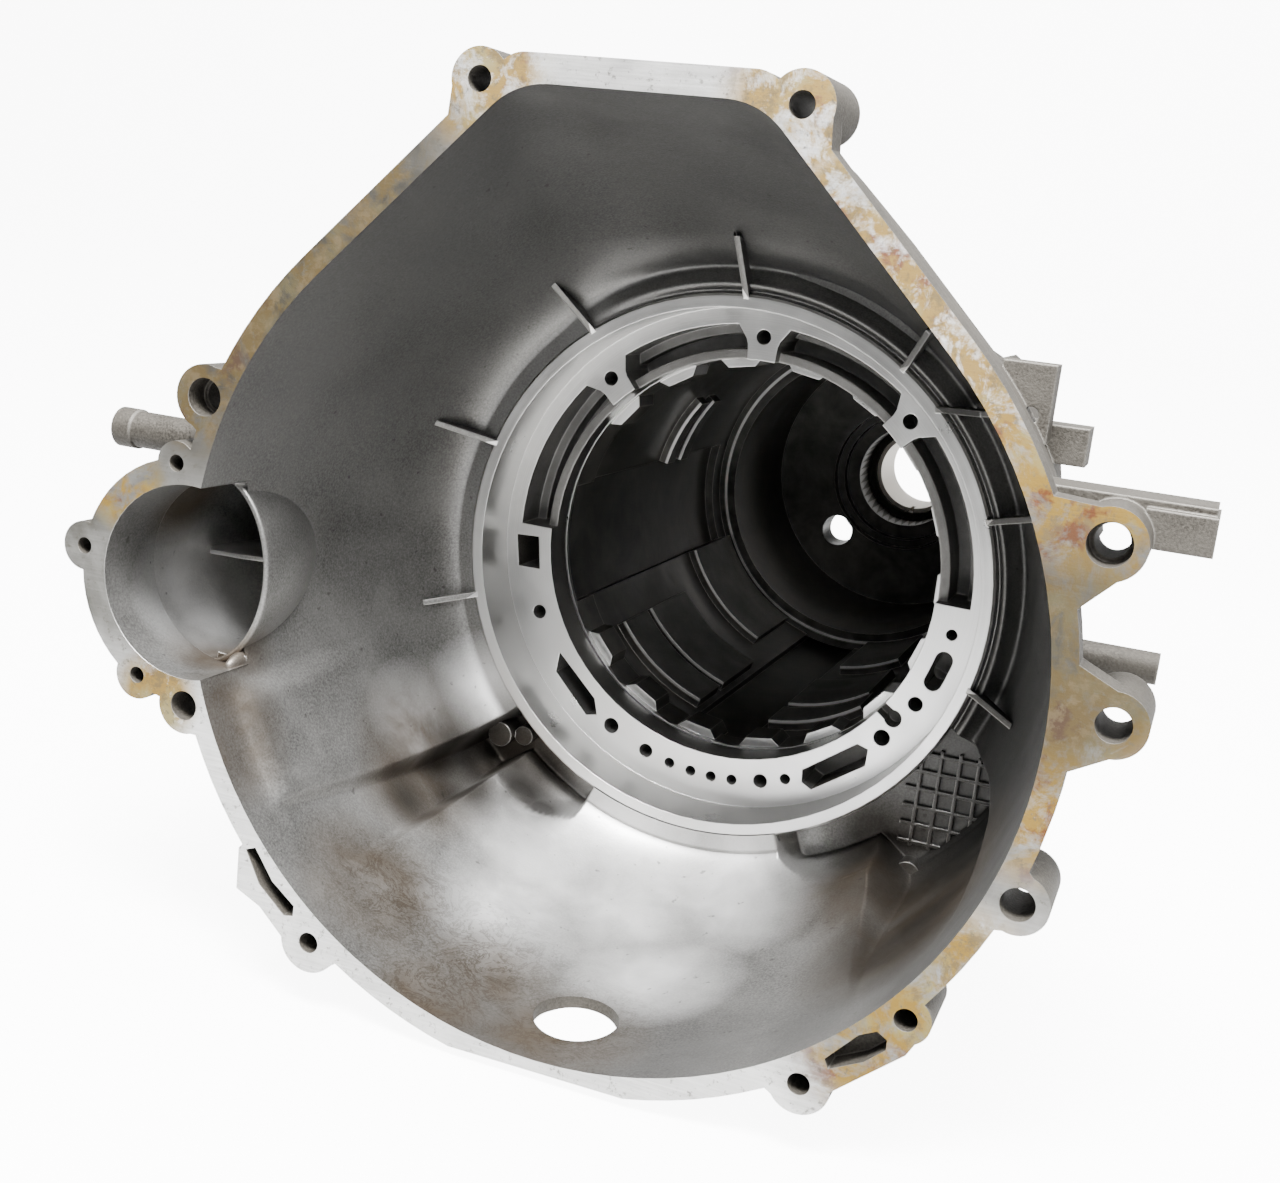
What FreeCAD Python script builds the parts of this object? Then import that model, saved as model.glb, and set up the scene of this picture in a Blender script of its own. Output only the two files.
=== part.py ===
import FreeCAD, Part
import math
import os
import re

# Gearbox housing, one aluminium casting with a bush pressed into its tail. Sizes are in millimetres.
# Frame: +Y runs from the engine face to the tail, +Z is up, the origin is the pump bore's centre at its seat.

App = FreeCAD
doc = App.newDocument("gearbox_housing")
sheet = doc.addObject("Spreadsheet::Sheet", "sizes")

SIZES = {
    # Bell
    "bell_depth": 216.5,
    "bell_radius": 190.5,
    "top_reach": 28.5,
    "bell_corner": 34.0,
    "bottom_reach": 5.5,
    "flange_width": 10.0,
    "flange_thickness": 14.0,
    "casting_wall": 6.5,
    "bowl_floor": 30.0,
    "floor_width": 7.5,
    # Pump boss
    "seat_width": 23.5,
    "pump_bore_depth": 31.5,
    "rim_wall": 7.0,
    "rim_chamfer": 1.2,
    "screw_offset": 8.7,
    "screw_bore": 3.9,
    "screw_boss": 9.2,
    "screw_depth": 26.0,
    "trough_width": 14.8,
    "trough_depth": 8.0,
    "trough_step": 22.0,
    "trough_groove": 34.0,
    "fluid_bore": 2.9,
    "fluid_bore_large": 4.4,
    "fluid_depth": 40.0,
    "window_depth": 28.0,
    # Gear cavity
    "cavity_radius": 112.0,
    "cavity_length": 441.0,
    "mouth_lip": 3.5,
    "mouth_length": 50.0,
    "spline_start": 27.0,
    "spline_height": 4.8,
    "channel_depth": 6.0,
    "case_wall": 7.5,
    "rear_wall": 17.0,
    "pad_height": 6.0,
    "snap_groove_start": 20.0,
    "snap_groove_width": 3.0,
    "snap_groove_depth": 2.6,
    "waist_length": 125.0,
    "waist_height": 12.0,
    # Tail
    "neck_radius": 47.0,
    "tail_reach": 89.0,
    "tail_flange_radius": 66.0,
    "tail_flange_thickness": 13.0,
    "ring_outer_radius": 55.5,
    "ring_inner_radius": 49.5,
    "ring_depth": 8.0,
    "bearing_radius": 39.0,
    "bearing_depth": 34.0,
    "output_bore_radius": 33.0,
    "bush_wall": 3.4,
    "bush_length": 52.0,
    "through_hole_radius": 12.0,
    "through_hole_circle": 68.0,
    # Starter nose
    "nose_outset": 2.5,
    "nose_z": -10.0,
    "nose_radius": 45.0,
    "nose_flange": 12.0,
    "nose_depth": 36.5,
    "pod_outset": 14.0,
    "pod_width": 31.0,
    "pod_length": 76.0,
    "pod_height": 45.0,
    "pod_wall": 3.5,
    # Bolt bores of the engine face
    "bolt_bore": 6.9,
    "top_bolt_bore": 5.2,
    "dowel_bore": 8.5,
    "dowel_depth": 12.0,
    "dowel_through": 6.6,
    "tapped_bore": 4.9,
    "tapped_depth": 24.0,
    "starter_bore": 3.9,
    "lug_length": 34.0,
    "top_lug_outset": 16.1,
    "top_lug_length": 38.0,
    # Bowl ribs and recesses
    "rib_thickness": 3.0,
    "rib_height": 12.0,
    "recess_floor": 8.0,
    "recess_start": 190.0,
    "recess_step_start": 54.0,
    "recess_step_width": 17.0,
    "grid_pitch": 9.7,
    "grid_rib": 1.8,
    "grid_height": 2.6,
    "drain_radius": 20.0,
    "drain_place": 42.5,
    # Pan rail
    "pan_rail_drop": 9.5,
    "pan_rail_start": 30.0,
    "pan_rail_wall": 13.0,
    "pan_bolt_bore": 3.4,
    "pan_bolt_depth": 16.0,
}
for row, (alias, value) in enumerate(SIZES.items(), start=1):
    sheet.set(f"A{row}", alias)
    sheet.set(f"B{row}", str(value))
    sheet.setAlias(f"B{row}", alias)
doc.recompute()


def size(alias):
    """A size as the sheet now holds it."""
    return float(sheet.get(alias))


# Places that follow from the sizes.
FOLLOWS = {
    "mouth_radius": "(cavity_radius - mouth_lip)",
    "pump_bore_radius": "(cavity_radius + seat_width)",
    "rim_radius": "(cavity_radius + seat_width + rim_wall)",
    "screw_circle": "(cavity_radius + screw_offset)",
    "case_radius": "(cavity_radius + case_wall)",
    "case_end": "(cavity_length + rear_wall)",
    "tail_end": "(cavity_length + rear_wall + tail_reach)",
    "nose_x": "(-bell_radius - nose_outset)",
    "rail_bottom": "(cavity_radius + case_wall + pan_rail_drop)",
    "rail_length": "(cavity_length - pan_rail_start - pan_rail_wall)",
}
ALIAS = re.compile(r"\b(" + "|".join(sorted(SIZES, key=len, reverse=True)) + r")\b")
FOLLOW = re.compile(r"\b(" + "|".join(sorted(FOLLOWS, key=len, reverse=True)) + r")\b")


def expression(text):
    """An expression on the sheet's aliases."""
    spelled = FOLLOW.sub(lambda match: FOLLOWS[match.group(1)], str(text))
    return ALIAS.sub(r"sizes.\1", spelled)


def bind(obj, **sizes):
    """Bind each property to an expression on the sheet's aliases."""
    for name, text in sizes.items():
        obj.setExpression(name, expression(text))


def place(obj, x, y, z):
    """Bind the placement's base to three expressions."""
    for axis, text in zip("xyz", (x, y, z)):
        obj.setExpression(f"Placement.Base.{axis}", expression(text))


def cylinder(name, radius, length, x=0, y=0, z=0, axis="Y"):
    """A cylinder along +Y (or +X, or +Z) from its near end's centre."""
    obj = doc.addObject("Part::Cylinder", name)
    turn = {"X": (App.Vector(0, 1, 0), 90), "Y": (App.Vector(1, 0, 0), -90), "Z": (App.Vector(0, 0, 1), 0)}
    obj.Placement = App.Placement(App.Vector(), App.Rotation(*turn[axis]))
    bind(obj, Radius=radius, Height=length)
    place(obj, x, y, z)
    return obj


def cone(name, near_radius, far_radius, length, y=0):
    """A cone along +Y on the main axis."""
    obj = doc.addObject("Part::Cone", name)
    obj.Placement = App.Placement(App.Vector(), App.Rotation(App.Vector(1, 0, 0), -90))
    bind(obj, Radius1=near_radius, Radius2=far_radius, Height=length)
    place(obj, 0, y, 0)
    return obj


def box(name, wide, deep, high, x, y, z):
    """A box from its lowest corner."""
    obj = doc.addObject("Part::Box", name)
    bind(obj, Length=wide, Width=deep, Height=high)
    place(obj, x, y, z)
    return obj


def solid(name, shape):
    """A form that no primitive gives, worked out from the sheet."""
    obj = doc.addObject("Part::Feature", name)
    obj.Shape = shape
    return obj


def fuse(name, parts):
    obj = doc.addObject("Part::MultiFuse", name)
    obj.Refine = False
    obj.Shapes = parts
    return obj


def cut(name, base, tool):
    obj = doc.addObject("Part::Cut", name)
    obj.Refine = False
    obj.Base = base
    obj.Tool = tool
    return obj


def polar(radius, degrees, y=0.0):
    """The point at a radius and an angle from +X, in the plane at y."""
    turn = math.radians(degrees)
    return App.Vector(radius * math.cos(turn), y, radius * math.sin(turn))


def ring_sector(inner, outer, start, end, near, far):
    """A piece of a ring about the main axis, from angle start up to angle end and from y near to y far."""
    middle = (start + end) / 2.0
    corners = [polar(inner, start, near), polar(outer, start, near), polar(outer, end, near), polar(inner, end, near)]
    edges = [
        Part.makeLine(corners[0], corners[1]),
        Part.Arc(corners[1], polar(outer, middle, near), corners[2]).toShape(),
        Part.makeLine(corners[2], corners[3]),
        Part.Arc(corners[3], polar(inner, middle, near), corners[0]).toShape(),
    ]
    return Part.Face(Part.Wire(edges)).extrude(App.Vector(0, far - near, 0))


def prism(points, near, far):
    """A prism along Y over a polygon of (x, z) corners."""
    corners = [App.Vector(x, near, z) for x, z in points]
    return Part.Face(Part.makePolygon(corners + corners[:1])).extrude(App.Vector(0, far - near, 0))


# The bell's section is a circle with shoulders at 45 degrees up to a flat top.

def bell_section(radius, top, corner, y):
    """Bell section as a wire: lower arcs, two shoulders tangent to them, two corner arcs and the flat top."""
    half_top = radius * math.sqrt(2.0) - top
    tangent = corner * math.tan(math.radians(22.5))
    side = tangent * math.sqrt(0.5)
    bulge_x = half_top + corner * (math.sin(math.radians(22.5)) - math.tan(math.radians(22.5)))
    bulge_z = top - corner * (1.0 - math.cos(math.radians(22.5)))
    right = App.Vector(half_top + side, y, top - side)
    left = App.Vector(-half_top - side, y, top - side)
    flat_right = App.Vector(half_top - tangent, y, top)
    flat_left = App.Vector(-half_top + tangent, y, top)
    low = App.Vector(0, y, -radius)
    return Part.Wire([
        Part.Arc(low, polar(radius, -22.5, y), polar(radius, 45, y)).toShape(),
        Part.makeLine(polar(radius, 45, y), right),
        Part.Arc(right, App.Vector(bulge_x, y, bulge_z), flat_right).toShape(),
        Part.makeLine(flat_right, flat_left),
        Part.Arc(flat_left, App.Vector(-bulge_x, y, bulge_z), left).toShape(),
        Part.makeLine(left, polar(radius, 135, y)),
        Part.Arc(polar(radius, 135, y), polar(radius, 202.5, y), low).toShape(),
    ])


def bowl_radius(share):
    """The bowl's radius at a share of its depth: steep at the face, rounding into the floor."""
    floor = rim_radius + size("floor_width")
    return floor + (size("bell_radius") - floor) * (1.0 - share ** 2.2) ** 0.625


def bowl(offset, near, far):
    """The bowl as a loft over six sections between two depths, offset outwards by a wall."""
    wires = []
    for share in (0.0, 0.3, 0.55, 0.76, 0.91, 1.0):
        radius = bowl_radius(share) + offset
        top = radius + size("top_reach") * (1.0 - share)
        corner = size("bell_corner") + (radius * 0.7 - size("bell_corner")) * share + offset
        wires.append(bell_section(radius, top, corner, near + (far - near) * share))
    return Part.makeLoft(wires, True, True)


face = -size("bell_depth")
wall = size("casting_wall")
bell_top = size("bell_radius") + size("top_reach")
cavity_radius = size("cavity_radius")
mouth_radius = cavity_radius - size("mouth_lip")
rim_radius = cavity_radius + size("seat_width") + size("rim_wall")
case_radius = cavity_radius + size("case_wall")
case_end = size("cavity_length") + size("rear_wall")
nose_x = -size("bell_radius") - size("nose_outset")
recess_radius = size("bell_radius") - 0.5
step_radius = rim_radius + size("floor_width") + size("recess_step_width")
behind_flange = face + size("flange_thickness")
flange_radius = size("bell_radius") + size("flange_width")

# Outside of the casting: bell, flange, lugs, starter nose, gear case, pan rail and bosses.
outside = [
    solid("bell_skin", bowl(wall, face, -size("bowl_floor") + wall)),
    solid("flange_plate", Part.Face(bell_section(
        flange_radius, bell_top + size("flange_width") + 1.5, size("bell_corner") * 0.4, face,
    )).extrude(App.Vector(0, size("flange_thickness"), 0))),
    cylinder("nose_flange_plate", "nose_radius + nose_flange", "flange_thickness", "nose_x", "-bell_depth", "nose_z"),
    cylinder("nose_skin", "nose_radius + casting_wall", "nose_depth", "nose_x", "-bell_depth", "nose_z"),
    cylinder("boss_skin", "rim_radius", "pump_bore_depth + 18", 0, "-pump_bore_depth", 0),
    cone("boss_taper", "rim_radius", "case_radius + 1", 26, 18),
    cylinder("case_skin", "case_radius", "case_end - 20", 0, 20, 0),
    cylinder("tail_neck", "neck_radius", "tail_reach + 2", 0, "case_end - 2", 0),
    cone("tail_web", "cavity_radius - 24", "neck_radius", "tail_reach * 0.47", "case_end"),
    cylinder("tail_flange", "tail_flange_radius", "tail_flange_thickness", 0, "tail_end - tail_flange_thickness", 0),
]

# Bolt lugs of the engine face: name, angle, outset from the bell's radius, radius, flare of the foot, bore.
ROUND_LUGS = (
    ("dowel_left", 158.12, 12.1, 14.5, 6.0, "dowel"),
    ("dowel_right", 20.54, 24.68, 14.0, 12.0, "dowel"),
    ("side_right", 2.54, 23.7, 13.0, 14.0, "through"),
    ("low_left", 199.463, 12.08, 13.5, 8.0, "through"),
    ("low_right", -19.463, 12.08, 12.5, 14.0, "through"),
    ("corner_right", -38.93, 10.03, 10.5, 6.0, "tapped"),
    ("bottom_left", 234.82, 12.59, 14.5, 10.0, "tapped"),
    ("bottom_right", -54.82, 12.59, 13.5, 10.0, "tapped"),
)


def rim_point(degrees, outset):
    """A corner (x, z) at an angle and an outset from the bell's radius."""
    point = polar(size("bell_radius") + outset, degrees)
    return point.x, point.z


top_lug_x = size("bell_radius") * math.sqrt(2.0) - bell_top + size("top_lug_outset")
LUGS = [("top_left", -top_lug_x, bell_top, 12.5, 8.0, "top"), ("top_right", top_lug_x, bell_top, 13.0, 8.0, "top")]
for name, degrees, outset, *rest in ROUND_LUGS:
    LUGS.append((name, *rim_point(degrees, outset), *rest))


def lug_foot(x, z, radius, flare, length):
    """The web that carries a lug: from the lug's full width, widening to the flange ring."""
    reach = math.hypot(x, z)
    out = App.Vector(x / reach, 0, z / reach)
    across = App.Vector(-out.z, 0, out.x)
    tip = App.Vector(x, face, z)
    foot = tip - out * (radius + flare)
    corners = [
        tip + across * radius,
        foot + across * (radius + flare),
        foot - across * (radius + flare),
        tip - across * radius,
    ]
    return Part.Face(Part.makePolygon(corners + corners[:1])).extrude(App.Vector(0, length, 0))


for name, x, z, radius, flare, bore in LUGS:
    length = "top_lug_length" if bore == "top" else "lug_length"
    outside.append(cylinder(f"lug_{name}", radius, length, x, "-bell_depth", z))
    outside.append(solid(f"lug_foot_{name}", lug_foot(x, z, radius, flare, size("flange_thickness"))))

# Starter lugs: name, angle and outset about the nose, radius.
STARTER_LUGS = []
for name, degrees, outset, radius in (("above", 98.4, 9.6, 10.0), ("outer", 171.9, 12.06, 11.5),
                                      ("below", -117.0, 8.9, 11.5)):
    point = polar(size("nose_radius") + outset, degrees)
    STARTER_LUGS.append((name, nose_x + point.x, size("nose_z") + point.z, radius))
for name, x, z, radius in STARTER_LUGS:
    outside.append(cylinder(f"starter_lug_{name}", radius, "lug_length", x, "-bell_depth", z))

# Corner plates at the bottom of the flange, each with a cored slot.
outside += [
    solid("corner_plate_left", prism([rim_point(*corner) for corner in (
        (219.4, 12.7), (223.5, 26.0), (227.1, 21.1), (237.0, 24.2), (238.0, -1.8), (218.2, -12.5))],
        face, behind_flange)),
    solid("corner_plate_right", prism([rim_point(*corner) for corner in (
        (-37.2, 17.9), (-41.7, 21.3), (-52.3, 20.5), (-56.8, 23.3), (-58.0, -1.8), (-38.2, -12.5))],
        face, behind_flange)),
]


def recess_housing(start, end, step_end):
    """The outer skin over a bowl recess: a long sector and a shorter one beside its floor."""
    turn = math.degrees(wall / recess_radius)
    far = -size("recess_floor") + wall
    long_part = ring_sector(
        rim_radius - 4, recess_radius + wall, start - turn, end + turn, behind_flange - 1, far)
    low, high = sorted((step_end, start if step_end < start else end))
    short_part = ring_sector(
        rim_radius - 4, step_radius + wall, low - turn, high + turn, -size("recess_step_start"), far)
    return long_part.fuse(short_part)


def recess_void(start, end, step_end):
    """A bowl recess: the side wall runs straight back where the bowl rounds in, with a step beside the floor."""
    far = -size("recess_floor")
    long_part = ring_sector(rim_radius - 2, recess_radius, start, end, -size("recess_start"), far)
    low, high = sorted((step_end, start if step_end < start else end))
    short_part = ring_sector(rim_radius - 2, step_radius, low, high, -size("recess_step_start"), far)
    return long_part.fuse(short_part)


RECESSES = {"left": (-143.0, -130.0, -113.0), "right": (-51.0, -25.0, -69.0)}
for name, angles in RECESSES.items():
    outside.append(solid(f"recess_housing_{name}", recess_housing(*angles)))

# Pan rail under the gear case, with its chamber open below.
rail_outer = box(
    "rail_block", "2 * cavity_radius", "rail_length", "cavity_radius * 0.6", "-cavity_radius", "pan_rail_start",
    "-rail_bottom")
rail_inner = box(
    "rail_chamber", "2 * (cavity_radius - pan_rail_wall)", "rail_length - 2 * pan_rail_wall",
    "cavity_radius * 0.6 + 2", "-cavity_radius + pan_rail_wall", "pan_rail_start + pan_rail_wall",
    "-rail_bottom - 1")
outside.append(cut("pan_rail", rail_outer, rail_inner))

# Outside bosses: lever arm, two ears, a tube boss, the stub on the left and stiffening ribs along the case.
outside += [
    box("lever_arm", 66, 24, 18, "bell_radius - 20.5", "-bell_depth + 26", 73),
    box("lever_arm_end", 26, 30, 15, "bell_radius + 20.5", "-bell_depth + 22", 73),
    box("ear_upper", 22, 14, 32, "bell_radius - 46.5", "-bell_depth + 70", 101),
    box("ear_lower", 26, 18, 16, "bell_radius - 35.5", "-bell_depth + 88", 92),
    cylinder("tube_boss", 6.8, 44, "bell_radius - 10.5", "-bell_depth + 92", 13, axis="X"),
    cylinder("stub_boss", 8.8, 76, "-bell_radius - 71.5", "-bell_depth + 46", 48, axis="X"),
    cylinder("stub_cap", 9.6, 10, "-bell_radius - 75.5", "-bell_depth + 46", 48, axis="X"),
    box("plate_corner", 30, 16, 18, "-bell_radius - 16.5", "-bell_depth + 16", 68),
]
for index, angle in enumerate((20, 55, 90, 125, 160, 200, 340)):
    rib = ring_sector(case_radius - 3, case_radius + 9, angle - 1.6, angle + 1.6, 30, case_end - 12)
    outside.append(solid(f"case_rib_{index + 1}", rib))

casting_outside = fuse("casting_outside", outside)
flat_bottom = box("flat_bottom", "4 * bell_radius", "flange_thickness + 40", "bell_radius / 4", "-2 * bell_radius",
                  "-bell_depth - 20", "-bell_radius * 1.25 - bottom_reach")
bowl_voids = fuse("bowl_voids", [
    solid("bowl_void", bowl(0.0, face, -size("bowl_floor"))),
    solid("recess_void_left", recess_void(*RECESSES["left"])),
    solid("recess_void_right", recess_void(*RECESSES["right"])),
    flat_bottom,
])
hollow_casting = cut("hollow_casting", casting_outside, bowl_voids)

# What stands in the bowl: pump rim, ribs, starter pod, rib grid and small bosses.
rim = doc.addObject("Part::Chamfer", "pump_rim")
rim_blank = cylinder("pump_rim_blank", "rim_radius", "pump_bore_depth + 4", 0, "-pump_bore_depth", 0)
doc.recompute()
rim.Base = rim_blank
edge_number = next(
    number for number, edge in enumerate(rim_blank.Shape.Edges, start=1)
    if len(edge.Vertexes) == 1 and edge.BoundBox.YMax < -size("pump_bore_depth") + 0.1)
chamfer = size("rim_chamfer")
rim.Edges = [(edge_number, chamfer, chamfer)]
in_bowl = [rim]


def bowl_rib(angle, outer, lean):
    """A thin fin between the pump boss and the bowl, its crest falling outwards."""
    half = size("rib_thickness") / 2.0
    height = size("rib_height")
    inner = rim_radius - 3
    crest = -size("bowl_floor")
    profile = [
        App.Vector(inner, crest + 20, 0),
        App.Vector(inner, crest - 1, 0),
        App.Vector(inner + 6, crest - height * 0.45, 0),
        App.Vector(outer, crest - height * 2.3, 0),
        App.Vector(outer + 6, crest - height * 2.2, 0),
        App.Vector(outer + 6, crest - height * 1.2, 0),
    ]
    blade = Part.Face(Part.makePolygon(profile + profile[:1])).extrude(App.Vector(0, 0, 2 * half))
    blade.translate(App.Vector(0, 0, -half))
    blade.rotate(App.Vector(inner, 0, 0), App.Vector(0, 1, 0), -lean)
    blade.rotate(App.Vector(), App.Vector(0, 1, 0), -angle)
    return blade


# Angle of the foot at the boss, outer radius, lean from the radius.
BOWL_RIBS = ((126, 176, 0), (91, 170, 0), (55, 166, 0), (45, 166, -38), (20, 168, 0), (-15, 170, 0), (195, 178, 0),
             (160, 170, 0))
for index, (angle, outer, lean) in enumerate(BOWL_RIBS):
    in_bowl.append(solid(f"bowl_rib_{index + 1}", bowl_rib(angle, outer, lean)))


def pod_dome(offset):
    """The dome over the starter pinion: ellipses that shrink towards its far end, offset outwards by a wall."""
    wires = []
    for share in (0.0, 0.4, 0.7, 0.9, 0.98):
        narrow = math.sqrt(1.0 - share * share)
        half_wide = (size("pod_width") + offset) * narrow
        half_high = (size("pod_height") + offset) * narrow
        y = face + size("nose_depth") + (size("pod_length") + offset) * share
        centre = App.Vector(nose_x - size("pod_outset"), y, size("nose_z"))
        tall = centre + App.Vector(0, 0, half_high)
        side = centre + App.Vector(half_wide, 0, 0)
        wires.append(Part.Wire(Part.Ellipse(tall, side, centre).toShape()))
    return Part.makeLoft(wires, True, True)


in_bowl.append(solid("nose_pod", pod_dome(size("pod_wall"))))

grid_floor = -size("recess_floor")
for index in range(4):
    x = 115 + size("grid_pitch") * index
    bar = prism([(x, -126 - 4), (x + size("grid_rib"), -130), (x + size("grid_rib"), -76), (x, -76)],
                grid_floor - size("grid_height"), grid_floor + 1)
    in_bowl.append(solid(f"grid_upright_{index + 1}", bar))
for index in range(6):
    z = -80 - size("grid_pitch") * index
    bar = prism([(109, z), (158, z), (158, z + size("grid_rib")), (109, z + size("grid_rib"))],
                grid_floor - size("grid_height"), grid_floor + 1)
    in_bowl.append(solid(f"grid_bar_{index + 1}", bar))
# Small bosses on the recess floors: name, radius, height, distance from the recess wall, angle.
RECESS_BOSSES = (
    ("left", 7.0, 15, 24.531, 224.51),
    ("left_small", 5.5, 9, 32.863, 227.578),
    ("right", 7.0, 11, 4.6, -50.471),
)
for name, radius, height, inset, degrees in RECESS_BOSSES:
    point = polar(recess_radius - inset, degrees)
    in_bowl.append(cylinder(
        f"recess_boss_{name}", radius, height + 1, point.x, f"-recess_floor - {height}", point.z))
bell_with_boss = fuse("bell_with_boss", [hollow_casting] + in_bowl)

# Hollows of the pump boss, gear cavity, tail and starter nose.
voids = [
    cylinder("pump_bore", "pump_bore_radius", "pump_bore_depth + 1", 0, "-pump_bore_depth - 1", 0),
    cylinder("mouth", "mouth_radius", "mouth_length + 1", 0, 0, 0),
    cylinder("cavity", "cavity_radius", "cavity_length - mouth_length", 0, "mouth_length", 0),
    cylinder("snap_groove", "mouth_radius + snap_groove_depth", "snap_groove_width", 0, "snap_groove_start", 0),
    cylinder("ring_recess", "ring_outer_radius", "ring_depth + 2", 0, "cavity_length - 1", 0),
    cylinder("ring_step", "ring_inner_radius", "2 * ring_depth + 2", 0, "cavity_length - 1", 0),
    cylinder("bearing_seat", "bearing_radius", "bearing_depth + 16", 0, "cavity_length", 0),
    cylinder("output_bore", "output_bore_radius", "rear_wall + tail_reach", 0, "cavity_length + 1", 0),
    cylinder("through_hole", "through_hole_radius", 40, "through_hole_circle * cos(-134)", "cavity_length - 2",
             "through_hole_circle * sin(-134)"),
    cylinder("nose_void", "nose_radius", "nose_depth + 0.5", "nose_x", "-bell_depth", "nose_z"),
    solid("nose_void_deep", pod_dome(0.0)),
    cylinder("drain", "drain_radius", 60, 1.5, "-bell_depth + drain_place", "-bell_radius - 30", axis="Z"),
]

# Channels let into the cavity wall: start angle, end angle, near y, distance of the far end from the rear wall.
CHANNELS = (("side", 168.0, 204.0, 26.0, 141.0), ("floor", 254.0, 273.0, 40.0, 11.0))
for name, start, end, near, left in CHANNELS:
    channel = ring_sector(
        mouth_radius - 1, cavity_radius + size("channel_depth"), start, end, near, size("cavity_length") - left)
    voids.append(solid(f"channel_{name}", channel))

bored_out = cut("bored_out", bell_with_boss, fuse("main_voids", voids))

# Troughs in the seat, between the upper screw bosses: a shallow mouth, a stepped outer side and a groove.
seat_voids = []
UPPER_SCREWS = (133.0, 90.0, 47.0)
trough_radius = cavity_radius + size("trough_width")
TROUGHS = ((-1.0, 43.0), (51.0, 86.0), (94.0, 129.0), (137.0, 179.5))
for index, (start, end) in enumerate(TROUGHS):
    shallow = ring_sector(mouth_radius - 2, trough_radius, start, end, -0.5, size("trough_depth"))
    step = ring_sector(cavity_radius + 5, trough_radius, start, end, 1, size("trough_step"))
    groove = ring_sector(cavity_radius + 1.5, cavity_radius + 9.6, start, end, 1, size("trough_groove"))
    seat_voids.append(solid(f"trough_{index + 1}", shallow.multiFuse([step, groove])))


def window(corners, depth):
    """A cored window through the seat, from corners at an outset from the cavity's radius and an angle."""
    points = [polar(cavity_radius + outset, degrees) for outset, degrees in corners]
    return prism([(point.x, point.z) for point in points], -0.5, depth)


WINDOWS = {
    "side": ((17.0, 182.5), (3.8, 182.5), (3.8, 191.5), (16.5, 190.5)),
    "lower_left": ((6.0, 215.5), (14.0, 219.5), (15.0, 233.0), (10.0, 235.0), (4.2, 231.5)),
    "lower_right": ((5.5, 296.0), (12.0, 294.8), (17.0, 296.5), (16.0, 311.5), (9.5, 314.5), (4.0, 313.0)),
}
for name, corners in WINDOWS.items():
    seat_voids.append(solid(f"window_{name}", window(corners, size("window_depth"))))
SLOT = (339.0, 345.2)
SLOT_RADIUS = 4.6
for index, degrees in enumerate(SLOT):
    point = polar(cavity_radius + 9.6, degrees)
    seat_voids.append(cylinder(f"slot_end_{index + 1}", SLOT_RADIUS, "window_depth", point.x, -0.5, point.z))
seat_voids.append(solid("slot_middle", ring_sector(
    cavity_radius + 9.6 - SLOT_RADIUS, cavity_radius + 9.6 + SLOT_RADIUS, *SLOT, -0.5, size("window_depth"))))
seat_voids.append(cylinder(
    "seat_pocket", SLOT_RADIUS, 12, "(cavity_radius + 5) * cos(-35)", -0.5, "(cavity_radius + 5) * sin(-35)"))
seat_voids.append(solid("seat_pocket_mouth", ring_sector(
    mouth_radius - 1, cavity_radius + 3, -36.8, -33.2, -0.5, 10.0)))

bored_casting = cut("bored_casting", bored_out, fuse("seat_hollows", seat_voids))

# What stands in the cavity: screw bosses, clutch splines, bearing pads for the drums and the waist ring.
inner_wall = cavity_radius + 1.5
in_cavity = []
for index, angle in enumerate(UPPER_SCREWS):
    in_cavity.append(cylinder(
        f"screw_post_{index + 1}", "screw_boss", "trough_groove + 2", f"screw_circle * cos({angle})", 0,
        f"screw_circle * sin({angle})"))
    foot = [polar(trough_radius + 0.7, angle - 6.6), polar(trough_radius + 0.7, angle + 6.6),
            polar(trough_radius - 7.3, angle + 4.4), polar(trough_radius - 7.3, angle - 4.4)]
    in_cavity.append(solid(f"screw_foot_{index + 1}", prism(
        [(point.x, point.z) for point in foot], 0, size("trough_groove") + 2)))
in_cavity.append(cylinder("screw_post_side", "screw_boss", 30, "screw_circle * cos(203.2)", 0,
                          "screw_circle * sin(203.2)"))

# Splines of the clutch ring, one every 20 degrees: the flanks close in towards the tip.
SPLINES = 18
tip_radius = mouth_radius - size("spline_height")
for index in range(SPLINES):
    angle = 360.0 / SPLINES * index
    if not 160 <= angle <= 208:
        corners = [polar(mouth_radius + 1.4, angle - 6.7), polar(mouth_radius + 1.4, angle + 6.7),
                   polar(tip_radius, angle + 4.15), polar(tip_radius, angle - 4.15)]
        in_cavity.append(solid(f"spline_{index + 1}", prism(
            [(point.x, point.z) for point in corners], size("spline_start"), size("mouth_length"))))

# Machined pads: start angle, end angle, near y, far y.
PADS = ((216.0, 252.0, 74.0, 112.0), (216.0, 252.0, 120.0, 184.0), (204.0, 245.0, 232.0, 308.0),
        (275.0, 306.0, 78.0, 112.0), (275.0, 303.0, 122.0, 190.0), (278.0, 300.0, 232.0, 320.0),
        (143.0, 168.0, 170.0, 184.0), (143.0, 168.0, 196.0, 210.0), (30.0, 70.0, 172.0, 200.0))
for index, (start, end, near, far) in enumerate(PADS):
    pad = ring_sector(cavity_radius - size("pad_height"), inner_wall, start, end, near, far)
    in_cavity.append(solid(f"pad_{index + 1}", pad))
waist_outer = cylinder(
    "waist_outer", "cavity_radius + 1.5", "waist_length", 0, "cavity_length - waist_length", 0)
waist_inner = cylinder(
    "waist_inner", "cavity_radius - waist_height", "waist_length + 2", 0, "cavity_length - waist_length - 1", 0)
in_cavity.append(cut("waist_ring", waist_outer, waist_inner))
filled_casting = fuse("filled_casting", [bored_casting] + in_cavity)

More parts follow.
